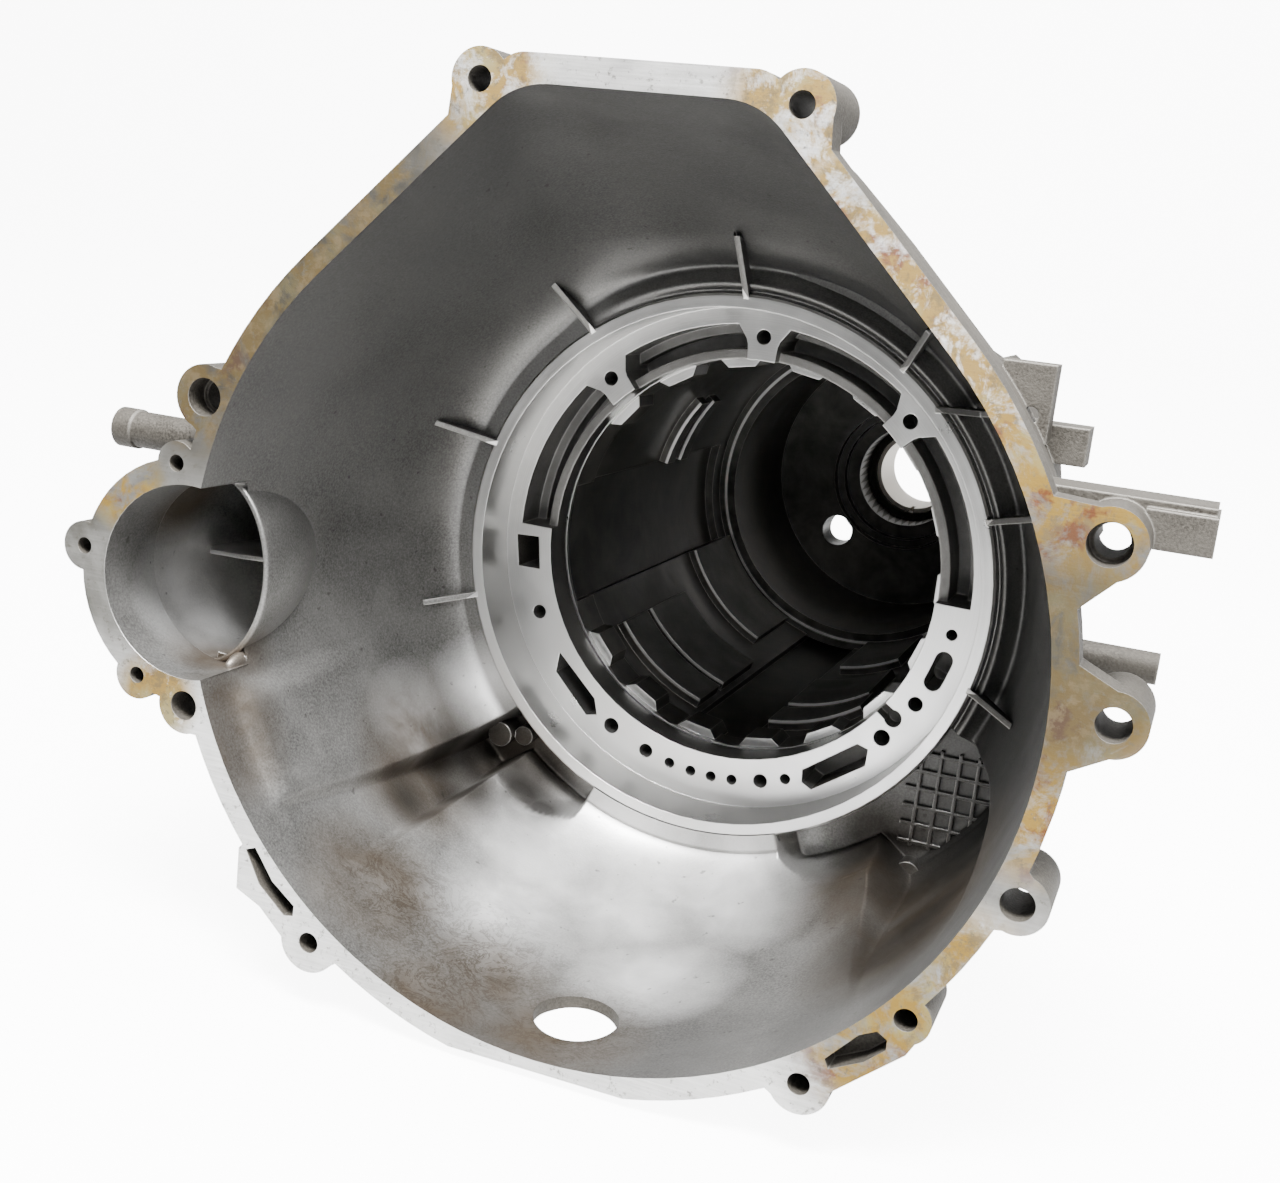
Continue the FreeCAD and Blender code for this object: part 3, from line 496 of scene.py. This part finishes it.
class Graph:
    """Short calls to build a node tree."""

    def __init__(self, tree):
        self.tree = tree

    def node(self, kind, inputs=(), **settings):
        """A node with its settings, its inputs linked where a socket is given and set otherwise."""
        made = self.tree.nodes.new(kind)
        for name, value in settings.items():
            setattr(made, name, value)
        for name, value in dict(inputs).items():
            if isinstance(value, bpy.types.NodeSocket):
                self.tree.links.new(value, made.inputs[name])
            else:
                made.inputs[name].default_value = value
        return made

    def noise(self, vector, scale, detail=4.0, rough=0.55, warp=0.0):
        made = self.node("ShaderNodeTexNoise", {
            "Vector": vector, "Scale": scale, "Detail": detail, "Roughness": rough,
            "Distortion": warp})
        return made.outputs["Fac"]

    def stretch(self, vector, scale, turn=(0.0, 0.0, 0.0)):
        made = self.node("ShaderNodeMapping", {"Vector": vector, "Scale": scale, "Rotation": turn})
        return made.outputs["Vector"]

    def band(self, value, low, high, to_low=0.0, to_high=1.0):
        """A value mapped from low..high to 0..1, or to another range, and held at its ends."""
        made = self.node("ShaderNodeMapRange", {
            "Value": value, "From Min": low, "From Max": high, "To Min": to_low,
            "To Max": to_high})
        return made.outputs["Result"]

    def math(self, operation, first, second=0.0):
        made = self.node("ShaderNodeMath", {0: first, 1: second}, operation=operation)
        return made.outputs[0]

    def times(self, first, second):
        return self.math("MULTIPLY", first, second)

    def mix(self, factor, first, second):
        """The first colour at factor 0, the second at factor 1."""
        made = self.node("ShaderNodeMix", data_type="RGBA")
        for slot, value in ((0, factor), (6, first), (7, second)):
            if isinstance(value, bpy.types.NodeSocket):
                self.tree.links.new(value, made.inputs[slot])
            else:
                made.inputs[slot].default_value = (*value, 1.0)
        return made.outputs[2]

    def lay(self, base, color, mask, strength):
        """A colour laid over a base where a mask is high, as strongly as strength says."""
        return self.mix(self.times(mask, strength), base, color)

    def split(self, vector):
        return self.node("ShaderNodeSeparateXYZ", {"Vector": vector}).outputs

    def reach(self, apart):
        """The distance from the main axis, from a split place."""
        flat = self.node("ShaderNodeCombineXYZ", {"X": apart["X"], "Z": apart["Z"]})
        away = self.node("ShaderNodeVectorMath", {0: flat.outputs["Vector"]}, operation="LENGTH")
        return away.outputs["Value"]

    def front(self):
        """1 where the surface faces the engine side, 0 where it faces sideways or back."""
        facing = self.split(self.node("ShaderNodeNewGeometry").outputs["Normal"])
        return self.band(facing["Y"], -0.5, -0.9)

    def spot(self, vector, centre, reach):
        """1 at a place in millimetres, falling to 0 at a reach in millimetres."""
        centre = tuple(v * MM for v in centre)
        away = self.node("ShaderNodeVectorMath", {0: vector, 1: centre}, operation="DISTANCE")
        return self.band(away.outputs["Value"], reach * MM, 0.0)

    def spots(self, vector, places):
        """The strongest of several spots, each given as its centre and its reach."""
        strongest = 0.0
        for centre, reach in places:
            strongest = self.math("MAXIMUM", strongest, self.spot(vector, centre, reach))
        return strongest

    def bump(self, height, strength, distance, normal=None):
        inputs = {"Height": height, "Strength": strength, "Distance": distance}
        if normal is not None:
            inputs["Normal"] = normal
        return self.node("ShaderNodeBump", inputs).outputs["Normal"]

    def rounded(self, radius):
        """A normal that rounds the edges over a radius in millimetres."""
        return self.node("ShaderNodeBevel", {"Radius": radius * MM}, samples=6).outputs["Normal"]

    def edge(self, rounded):
        """How near an edge is, from 0 to 1: there the rounded normal leaves the true one."""
        flat = self.node("ShaderNodeNewGeometry").outputs["Normal"]
        along = self.node("ShaderNodeVectorMath", {0: rounded, 1: flat}, operation="DOT_PRODUCT")
        return self.band(along.outputs["Value"], 0.99, 0.80)


def shader_of(name, metallic, specular=0.5):
    """A new material: its graph, its shader node and the object position."""
    material = bpy.data.materials.new(name)
    material.use_nodes = True
    graph = Graph(material.node_tree)
    shader = material.node_tree.nodes["Principled BSDF"]
    shader.inputs["Metallic"].default_value = metallic
    shader.inputs["Specular IOR Level"].default_value = specular
    place = graph.node("ShaderNodeTexCoord").outputs["Object"]
    return material, graph, shader, place


def wire(graph, shader, color, rough, normal=None):
    """Links a finished colour, roughness and normal to the shader."""
    graph.tree.links.new(color, shader.inputs["Base Color"])
    graph.tree.links.new(rough, shader.inputs["Roughness"])
    if normal is not None:
        graph.tree.links.new(normal, shader.inputs["Normal"])


def cast_grain_group():
    """Shared surface of as-cast aluminium: fine sand grain, soft mottling and dark pits."""
    tree = bpy.data.node_groups.new("cast_grain", "ShaderNodeTree")
    tree.interface.new_socket("Vector", in_out="INPUT", socket_type="NodeSocketVector")
    for name in ("Grain", "Mottle", "Pits"):
        tree.interface.new_socket(name, in_out="OUTPUT", socket_type="NodeSocketFloat")
    graph = Graph(tree)
    vector = graph.node("NodeGroupInput").outputs["Vector"]
    out = graph.node("NodeGroupOutput")
    grain = graph.noise(vector, 900.0, 3.0, 0.65)
    mottle = graph.noise(vector, 26.0, 7.0, 0.62, 0.3)
    pits = graph.band(graph.noise(vector, 210.0, 2.0, 0.5), 0.70, 0.76)
    tree.links.new(grain, out.inputs["Grain"])
    tree.links.new(mottle, out.inputs["Mottle"])
    tree.links.new(pits, out.inputs["Pits"])
    return tree


CAST_GRAIN = cast_grain_group()


def cast_outputs(graph, place):
    """The cast surface's grain, mottle and pits in a material."""
    made = graph.node("ShaderNodeGroup", node_tree=CAST_GRAIN)
    graph.tree.links.new(place, made.inputs["Vector"])
    return made.outputs


# Places in the bowl, centres and reaches in millimetres: the first list and the last hold painted shade,
# the second painted highlights, the third oil stains and the fourth cracks.
PAINTED_SHADE_PLACES = (
    ((150, -125, -120), 80), ((60, -195, -185), 75), ((115, -190, -155), 60), ((-20, -205, -190), 50))
HIGHLIGHT_PLACES = (
    ((-25, -46, -158), 85), ((-64, -62, -157), 66), ((32, -50, -158), 62), ((-12, -70, -172), 60),
    ((-138, -80, -92), 34), ((-124, -40, -84), 32), ((-231, -156, -33), 46),
    ((-60, -120, -172), 52), ((20, -125, -182), 48))
OIL_PLACES = (
    ((-108, -172, -152), 52), ((-50, -165, -183), 44), ((-58, -199, -178), 40),
    ((0, -190, -190), 50), ((142, -120, -120), 78), ((-200, -178, -50), 30),
    ((-238, -165, 22), 34), ((-140, -80, -122), 60), ((-105, -12, -140), 50),
    ((110, -60, -130), 62), ((-172, -205, -80), 40))
VEIN_PLACES = (
    ((-55, -165, -180), 60), ((-100, -165, -158), 60), ((0, -185, -190), 55), ((-62, -200, -180), 50))
DEEP_SHADE_PLACES = (
    ((-120, -12, -124), 40), ((-134, -58, -118), 26), ((-100, -10, -140), 26),
    ((95, -12, -128), 30), ((138, -60, -100), 26), ((-208, -108, 8), 30),
    ((-196, -176, -54), 9), ((138, -132, -132), 58), ((-94, -42, -141), 26),
    ((-80, -42, -147), 20), ((-114, -66, -136), 26), ((-128, -100, -130), 24))


def bowl_material():
    """The bell's inside: dark satin casting with painted shade on its upper and right parts, painted
    highlights under the pump boss, oily brown low down.
    """
    material, graph, shader, place = shader_of("bowl_casting", 0.85)
    cast = cast_outputs(graph, place)
    rounded = graph.rounded(1.2)
    edge = graph.edge(rounded)
    dark, light, grain = (0.115, 0.113, 0.108), (0.20, 0.197, 0.19), (0.285, 0.281, 0.27)
    base = graph.mix(graph.band(cast["Mottle"], 0.35, 0.68), dark, light)
    base = graph.mix(graph.band(cast["Grain"], 0.35, 0.7), base, grain)

    apart = graph.split(place)
    # Painted shade: the upper and right parts of the bowl, and the listed spots low down, are laid
    # darker to stand in for shade.
    high = graph.band(apart["Z"], -0.03, 0.08)
    right = graph.times(graph.band(apart["X"], 0.06, 0.15), graph.band(apart["Z"], -0.17, -0.12))
    painted_shade = graph.math("MAXIMUM", graph.times(high, 0.78), right)
    low = graph.band(graph.spots(place, PAINTED_SHADE_PLACES), 0.0, 0.8)
    painted_shade = graph.math("MAXIMUM", painted_shade, graph.times(low, 0.72))
    base = graph.lay(base, (0.075, 0.074, 0.072), painted_shade, 0.8)

    # Painted highlight: spots under the pump boss, on the lower left and in the starter pocket are laid
    # near white, with slightly more roughness.
    soft = graph.band(graph.noise(place, 22.0, 5.0, 0.6, 0.4), 0.3, 0.7, 0.55, 1.0)
    painted_highlight = graph.times(graph.band(graph.spots(place, HIGHLIGHT_PLACES), 0.0, 0.75), soft)
    base = graph.lay(base, (0.86, 0.857, 0.85), painted_highlight, 0.92)

    blotch = graph.band(graph.noise(place, 14.0, 6.0, 0.66, 0.6), 0.40, 0.60, 0.5, 1.0)
    oil = graph.times(graph.band(graph.spots(place, OIL_PLACES), 0.05, 0.6), blotch)
    base = graph.lay(base, (0.105, 0.080, 0.056), oil, 0.88)

    off_vein = graph.math("SUBTRACT", graph.noise(place, 60.0, 8.0, 0.75, 1.2), 0.5)
    vein = graph.band(graph.math("ABSOLUTE", off_vein), 0.035, 0.004)
    vein = graph.times(vein, graph.spots(place, VEIN_PLACES))
    base = graph.lay(base, (0.06, 0.045, 0.03), vein, 0.85)

    # Painted shade: near black laid in the deep corners of the recesses, in the starter pocket and low
    # on the right, where shade falls.
    deep_shade = graph.band(graph.spots(place, DEEP_SHADE_PLACES), 0.0, 0.7)
    base = graph.lay(base, (0.024, 0.020, 0.016), deep_shade, 0.80)
    base = graph.lay(base, (0.04, 0.036, 0.032), cast["Pits"], 0.5)
    # Painted highlight: light grey laid along edges, where the rounded normal turns.
    base = graph.lay(base, (0.70, 0.69, 0.665), edge, 0.55)

    rough = graph.band(cast["Mottle"], 0.3, 0.7, 0.36, 0.50)
    rough = graph.math("ADD", rough, graph.times(painted_highlight, 0.03))
    height = graph.math("ADD", graph.times(cast["Grain"], 0.6), graph.times(cast["Mottle"], 2.0))
    wire(graph, shader, base, rough, graph.bump(height, 0.3, 0.0005, rounded))
    return material


def outside_material():
    """The casting's outer skin and lug sides: brown-grey, dusty and rougher."""
    material, graph, shader, place = shader_of("outer_casting", 0.55)
    cast = cast_outputs(graph, place)
    rounded = graph.rounded(1.5)
    edge = graph.edge(rounded)
    dark, light, grain = (0.022, 0.019, 0.015), (0.055, 0.050, 0.042), (0.078, 0.071, 0.060)
    base = graph.mix(graph.band(cast["Mottle"], 0.35, 0.65), dark, light)
    base = graph.mix(graph.band(cast["Grain"], 0.35, 0.7), base, grain)
    base = graph.lay(base, (0.04, 0.034, 0.028), cast["Pits"], 0.5)
    # Painted highlight: light grey laid along edges.
    base = graph.lay(base, (0.40, 0.385, 0.35), edge, 0.30)
    rough = graph.band(cast["Mottle"], 0.3, 0.7, 0.55, 0.72)
    height = graph.math("ADD", graph.times(cast["Grain"], 0.8), graph.times(cast["Mottle"], 2.0))
    wire(graph, shader, base, rough, graph.bump(height, 0.45, 0.0007, rounded))
    return material


def on_face(*places):
    """Spots on the engine face, each given as X, Z and reach in millimetres."""
    return [((x, FACE, z), reach) for x, z, reach in places]


GRIME_PLACES = on_face(
    (-150, 130, 110), (-222, 15, 95), (-105, 175, 60), (192, 55, 90), (160, -125, 70), (200, -40, 60))
STAIN_PLACES = on_face(
    (135, 140, 75), (160, 112, 65), (100, 178, 50), (182, 78, 55), (198, 25, 55), (192, -20, 45),
    (-118, 160, 55), (-145, 133, 45), (-172, 100, 45), (-206, -66, 26), (-228, 30, 26),
    (-66, 219, 36), (66, 219, 38), (170, -110, 45), (150, -140, 45), (-190, 80, 35))
DIM_PLACES = on_face((-150, 130, 105), (-112, 168, 60), (-188, 78, 55), (195, 30, 60))


def flange_material():
    """The machined engine face: diagonal milling, dark speckle and yellow to rust stains."""
    material, graph, shader, place = shader_of("machined_face", 0.65)
    cast = cast_outputs(graph, place)
    along_cut = graph.stretch(place, (30.0, 1.0, 900.0), (0.0, math.radians(-32), 0.0))
    milled = graph.noise(along_cut, 1.0, 3.0, 0.6)
    dark, light, cut = (0.40, 0.396, 0.385), (0.64, 0.636, 0.62), (0.82, 0.815, 0.80)
    base = graph.mix(graph.band(cast["Mottle"], 0.3, 0.7), dark, light)
    base = graph.mix(graph.band(milled, 0.4, 0.75, 0.0, 0.5), base, cut)

    grime = graph.band(graph.spots(place, GRIME_PLACES), 0.0, 0.45)
    grime = graph.times(grime, graph.band(cast["Mottle"], 0.3, 0.62, 0.94, 0.70))
    base = graph.mix(grime, base, (0.055, 0.052, 0.042))

    patchy = graph.band(graph.noise(place, 62.0, 7.0, 0.72, 0.5), 0.38, 0.52)
    stain = graph.times(graph.band(graph.spots(place, STAIN_PLACES), 0.05, 0.45), patchy)
    tone = graph.noise(place, 48.0, 5.0, 0.65)
    pale, ochre, rust = (0.20, 0.165, 0.065), (0.19, 0.115, 0.014), (0.10, 0.028, 0.004)
    tint = graph.mix(graph.band(tone, 0.36, 0.50), pale, ochre)
    tint = graph.mix(graph.band(tone, 0.57, 0.64), tint, rust)
    base = graph.lay(base, tint, stain, 0.95)

    dim = graph.band(graph.spots(place, DIM_PLACES), 0.0, 0.5)
    base = graph.lay(base, (0.030, 0.026, 0.018), dim, 0.76)
    speckle = graph.band(graph.noise(place, 330.0, 4.0, 0.7), 0.58, 0.68)
    base = graph.lay(base, (0.075, 0.068, 0.052), speckle, 0.7)
    scab = graph.times(stain, graph.band(graph.noise(place, 150.0, 5.0, 0.7), 0.52, 0.62))
    base = graph.lay(base, (0.10, 0.075, 0.04), scab, 0.7)

    rough = graph.band(cast["Mottle"], 0.3, 0.7, 0.36, 0.5)
    rough = graph.math("ADD", rough, graph.times(stain, 0.25))
    height = graph.math("ADD", milled, cast["Grain"])
    wire(graph, shader, base, rough, graph.bump(height, 0.25, 0.0003))
    return material


def turned_material():
    """Turned metal: fine rings round the main axis, painted shade on the walls, and a painted highlight
    on the fronts low down.
    """
    material, graph, shader, place = shader_of("turned_metal", 0.95)
    cast = cast_outputs(graph, place)
    apart = graph.split(place)
    rings = graph.node("ShaderNodeCombineXYZ", {"X": graph.reach(apart), "Y": apart["Y"]})
    lines = graph.noise(rings.outputs["Vector"], 1600.0, 2.0, 0.5)
    rounded = graph.rounded(0.7)
    dark, light, ring = (0.50, 0.495, 0.48), (0.66, 0.655, 0.64), (0.78, 0.775, 0.76)
    base = graph.mix(graph.band(cast["Mottle"], 0.3, 0.7), dark, light)
    base = graph.mix(graph.band(lines, 0.35, 0.7, 0.0, 0.4), base, ring)
    front = graph.front()
    # Painted shade: faces that don't face the engine side are laid darker.
    base = graph.mix(graph.math("SUBTRACT", 1.0, front), base, (0.34, 0.336, 0.325))
    # Painted highlight: the fronts low down are laid near white.
    bright = graph.times(front, graph.band(apart["Z"], 0.02, -0.09))
    base = graph.mix(bright, base, (0.93, 0.928, 0.92))
    rough = graph.band(cast["Mottle"], 0.3, 0.7, 0.26, 0.38)
    wire(graph, shader, base, rough, graph.bump(lines, 0.18, 0.0002, rounded))
    return material


def cavity_material():
    """The gear cavity: dark casting wet with oil, with painted highlights along its edges and round its
    lands' fronts.
    """
    material, graph, shader, place = shader_of("oily_casting", 0.6)
    cast = cast_outputs(graph, place)
    rounded = graph.rounded(1.0)
    edge = graph.edge(rounded)
    dark, light = (0.04, 0.038, 0.034), (0.15, 0.143, 0.13)
    base = graph.mix(graph.band(cast["Mottle"], 0.35, 0.7), dark, light)
    # Painted highlight along the edges.
    base = graph.lay(base, (0.60, 0.585, 0.55), edge, 0.8)
    # Painted highlight: a near-white ring on the front faces of the lands.
    reach = graph.reach(graph.split(place))
    rim = graph.times(graph.band(reach, 0.1082, 0.1074), graph.band(reach, 0.1055, 0.106))
    rim = graph.times(rim, graph.front())
    base = graph.mix(rim, base, (0.90, 0.89, 0.87))
    rough = graph.band(cast["Mottle"], 0.3, 0.7, 0.28, 0.5)
    wire(graph, shader, base, rough, graph.bump(cast["Mottle"], 0.4, 0.001, rounded))
    return material


def trough_material():
    """The cast hollows in the seat: matt mid-grey casting with soft painted highlights on its ridges."""
    material, graph, shader, place = shader_of("trough_casting", 0.7)
    cast = cast_outputs(graph, place)
    rounded = graph.rounded(1.6)
    edge = graph.edge(rounded)
    dark, light = (0.14, 0.137, 0.13), (0.24, 0.235, 0.225)
    base = graph.mix(graph.band(cast["Mottle"], 0.35, 0.7), dark, light)
    # Painted highlight along the ridges and edges.
    base = graph.lay(base, (0.55, 0.54, 0.52), edge, 0.7)
    rough = graph.band(cast["Grain"], 0.3, 0.7, 0.45, 0.6)
    wire(graph, shader, base, rough, graph.bump(cast["Grain"], 0.4, 0.0005, rounded))
    return material


def bush_material():
    """The tail bush: light, faintly yellow bearing metal, turned."""
    material, graph, shader, place = shader_of("bush_metal", 0.5)
    lines = graph.noise(graph.stretch(place, (1.0, 900.0, 1.0)), 1.0, 3.0, 0.6)
    base = graph.mix(graph.band(lines, 0.3, 0.7), (0.62, 0.57, 0.49), (0.80, 0.76, 0.69))
    wire(graph, shader, base, graph.band(lines, 0.3, 0.7, 0.35, 0.5))
    return material


OUTSIDE, FLANGE, TURNED, CAVITY, BOWL, TROUGH = range(6)
SURFACES = [outside_material(), flange_material(), turned_material(), cavity_material(),
            bowl_material(), trough_material()]
for material in SURFACES:
    casting.data.materials.append(material)
for piece in (bowl, *pocket_pieces):
    piece.data.materials.append(SURFACES[BOWL])
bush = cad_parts["rear_case_bush"]
bush.data.materials.clear()
bush.data.materials.append(bush_material())


def turned_faces(y, z, reach, outward, front):
    """True for faces that are turned or milled: the seat, the bore, the rim, the mouth, the tail."""
    wall = outward < -0.7
    turned = front & (np.abs(y) < 0.1) & (reach < BORE_RADIUS + 0.5)
    turned |= (np.abs(reach - BORE_RADIUS) < 0.6) & (y < 0.2) & (y > BORE_FRONT - 0.5) & wall
    rim = (reach < RIM_RADIUS + 0.2) & (reach > BORE_RADIUS - 0.5)
    turned |= rim & (y < BORE_FRONT + 2.5) & (y > BORE_FRONT - 1.5)
    rim_side = (np.abs(reach - RIM_RADIUS) < 0.6) & (outward > 0.7)
    turned |= rim_side & (y < BORE_FRONT + 9.5) & (y > BORE_FRONT - 1.5)
    turned |= (np.abs(reach - MOUTH_RADIUS) < 0.5) & (y > 0.2) & (y < SPLINE_START) & wall
    spline = (reach < MOUTH_RADIUS + 1.0) & (reach > SPLINE_RADIUS - 0.7)
    turned |= front & spline & (np.abs(y - SPLINE_START) < 0.5)
    groove = (reach < GROOVE_RADIUS + 0.4) & (reach > MOUTH_RADIUS - 0.5)
    turned |= front & groove & (np.abs(y - GROOVE_BACK) < 0.5)
    turned |= (z < PAN_RAIL + 0.1) & (y > 0.0)
    return turned | (y > TAIL_END - 0.1)


def surface_numbers():
    """Which of SURFACES each of the casting's faces gets, from its place and the way it points."""
    centre, normal, reach, _, outward, _ = measures(rest_points, rest_faces)
    x, y, z = centre.T
    front = normal[:, 1] < -0.9
    number = np.full(len(rest_faces), OUTSIDE, dtype=np.int32)
    in_bowl = (reach < 189.0) & (reach > RIM_RADIUS)
    number[in_bowl & (y > FACE + 0.5) & (y < RECESS_FLOOR + 0.5)] = BOWL
    in_pocket = np.hypot(x - NOSE[0], z - NOSE[1]) < NOSE_RADIUS + 0.5
    number[in_pocket & (y > FACE + 0.2) & (y < -100.0)] = BOWL
    cavity = (reach < TROUGH_RADIUS + 0.7) & (y > 0.2) & (y < BEARING_END + 5.0)
    cavity &= (outward < 0.5) | (reach < CHANNEL_RADIUS + 1.0)
    number[cavity] = CAVITY
    number[cavity & (reach > MOUTH_RADIUS + 0.8) & (y < TROUGH_DEPTH + 6.0)] = TROUGH
    pads = (np.abs(reach - PAD_RADIUS) < 0.6) & (outward < -0.7)
    number[cavity & pads & (y > MOUTH_LENGTH + 10.0)] = TROUGH
    number[turned_faces(y, z, reach, outward, front)] = TURNED
    number[(np.abs(y - FACE) < 0.05) & front] = FLANGE
    return number


casting.data.polygons.foreach_set("material_index", surface_numbers())


# Stage: a pale floor under the bell's lowest edge and the pan rail, and a plain backdrop. In metres.
BELL_LOW_Y, BELL_LOW_Z = -0.176, -0.196
RAIL_END_Y, RAIL_END_Z = 0.428, -0.129
FLOOR_GAP = 0.0002
BACKDROP_GLOW = 9.0


def backdrop():
    """A floor that sweeps up into a wall behind the housing: a profile in Y and Z carried along X."""
    turn = np.linspace(0.0, math.pi / 2, 24)
    along = np.concatenate([[-4.0], 2.2 + 1.2 * np.sin(turn), [3.4]])
    height = np.concatenate([[0.0], 1.2 * (1.0 - np.cos(turn)), [5.0]])
    across = np.array([-6.0, 6.0])
    x, y = np.meshgrid(across, along)
    z = np.repeat(height[:, None], 2, axis=1)
    points = np.stack([x.ravel(), y.ravel(), z.ravel()], axis=1)
    faces = [(2 * i, 2 * i + 1, 2 * i + 3, 2 * i + 2) for i in range(len(along) - 1)]
    mesh = bpy.data.meshes.new("backdrop")
    mesh.from_pydata(points.tolist(), [], faces)
    mesh.shade_smooth()
    tilt = math.atan2(RAIL_END_Z - BELL_LOW_Z, RAIL_END_Y - BELL_LOW_Y)
    place = Matrix.Translation((0.0, BELL_LOW_Y, BELL_LOW_Z - FLOOR_GAP))
    mesh.transform(place @ Matrix.Rotation(tilt, 4, "X"))
    return link("backdrop", mesh)


def backdrop_material():
    """White cloth that shows near white to the camera and still takes a soft shadow."""
    material, graph, shader, _ = shader_of("backdrop", 0.0, 0.2)
    shader.inputs["Base Color"].default_value = (0.45, 0.45, 0.45, 1.0)
    shader.inputs["Roughness"].default_value = 0.9
    shader.inputs["Emission Color"].default_value = (1.0, 1.0, 1.0, 1.0)
    seen = graph.node("ShaderNodeLightPath").outputs["Is Camera Ray"]
    glow = graph.times(seen, BACKDROP_GLOW)
    graph.tree.links.new(glow, shader.inputs["Emission Strength"])
    return material


floor = backdrop()
floor.data.materials.append(backdrop_material())


def area_light(name, place, target, wide, high, power):
    """A rectangular light at a place that points at a target, in metres and watts."""
    data = bpy.data.lights.new(name, "AREA")
    data.shape = "RECTANGLE"
    data.size = wide
    data.size_y = high
    data.energy = power
    obj = link(name, data)
    obj.location = place
    obj.rotation_euler = (Vector(target) - Vector(place)).to_track_quat("-Z", "Y").to_euler()


area_light("key", (1.0, -1.15, 1.65), (-0.08, -0.1, -0.05), 1.0, 0.8, 92)
area_light("overhead", (0.12, -0.95, 1.60), (-0.02, -0.14, -0.16), 0.9, 0.5, 260)
area_light("front", (0.7, -2.3, 0.9), (0, 0, 0), 0.8, 0.8, 10)
area_light("top", (0.0, 0.9, 2.4), (0, 0.3, 0), 1.6, 1.6, 40)
area_light("wall_wash", (0, 0.6, 3.4), (0, 3.0, 0.4), 4.0, 2.0, 260)

world = bpy.data.worlds.new("studio")
bpy.context.scene.world = world
world.use_nodes = True
sky = world.node_tree.nodes["Background"]
sky.inputs["Color"].default_value = (0.95, 0.97, 1.0, 1.0)
sky.inputs["Strength"].default_value = 0.09

# Camera: its place, its axes and its focal length, worked out from the circles of the photograph.
CAMERA_PLACE = (0.236449, -0.813423, 0.166813)
CAMERA_RIGHT = (0.92850316, 0.35518421, 0.10828693)
CAMERA_UP = (-0.17672888, 0.16622894, 0.97012105)
CAMERA_BACK = (0.32657126, -0.91989788, 0.2171154)
lens = bpy.data.cameras.new("camera")
lens.sensor_fit = "HORIZONTAL"
lens.sensor_width = 36.0
lens.lens = 45.18
lens.clip_start = 0.01
lens.clip_end = 50.0
camera = link("camera", lens)
turn = Matrix((CAMERA_RIGHT, CAMERA_UP, CAMERA_BACK)).transposed().to_4x4()
camera.matrix_world = Matrix.Translation(CAMERA_PLACE) @ turn
bpy.context.scene.camera = camera
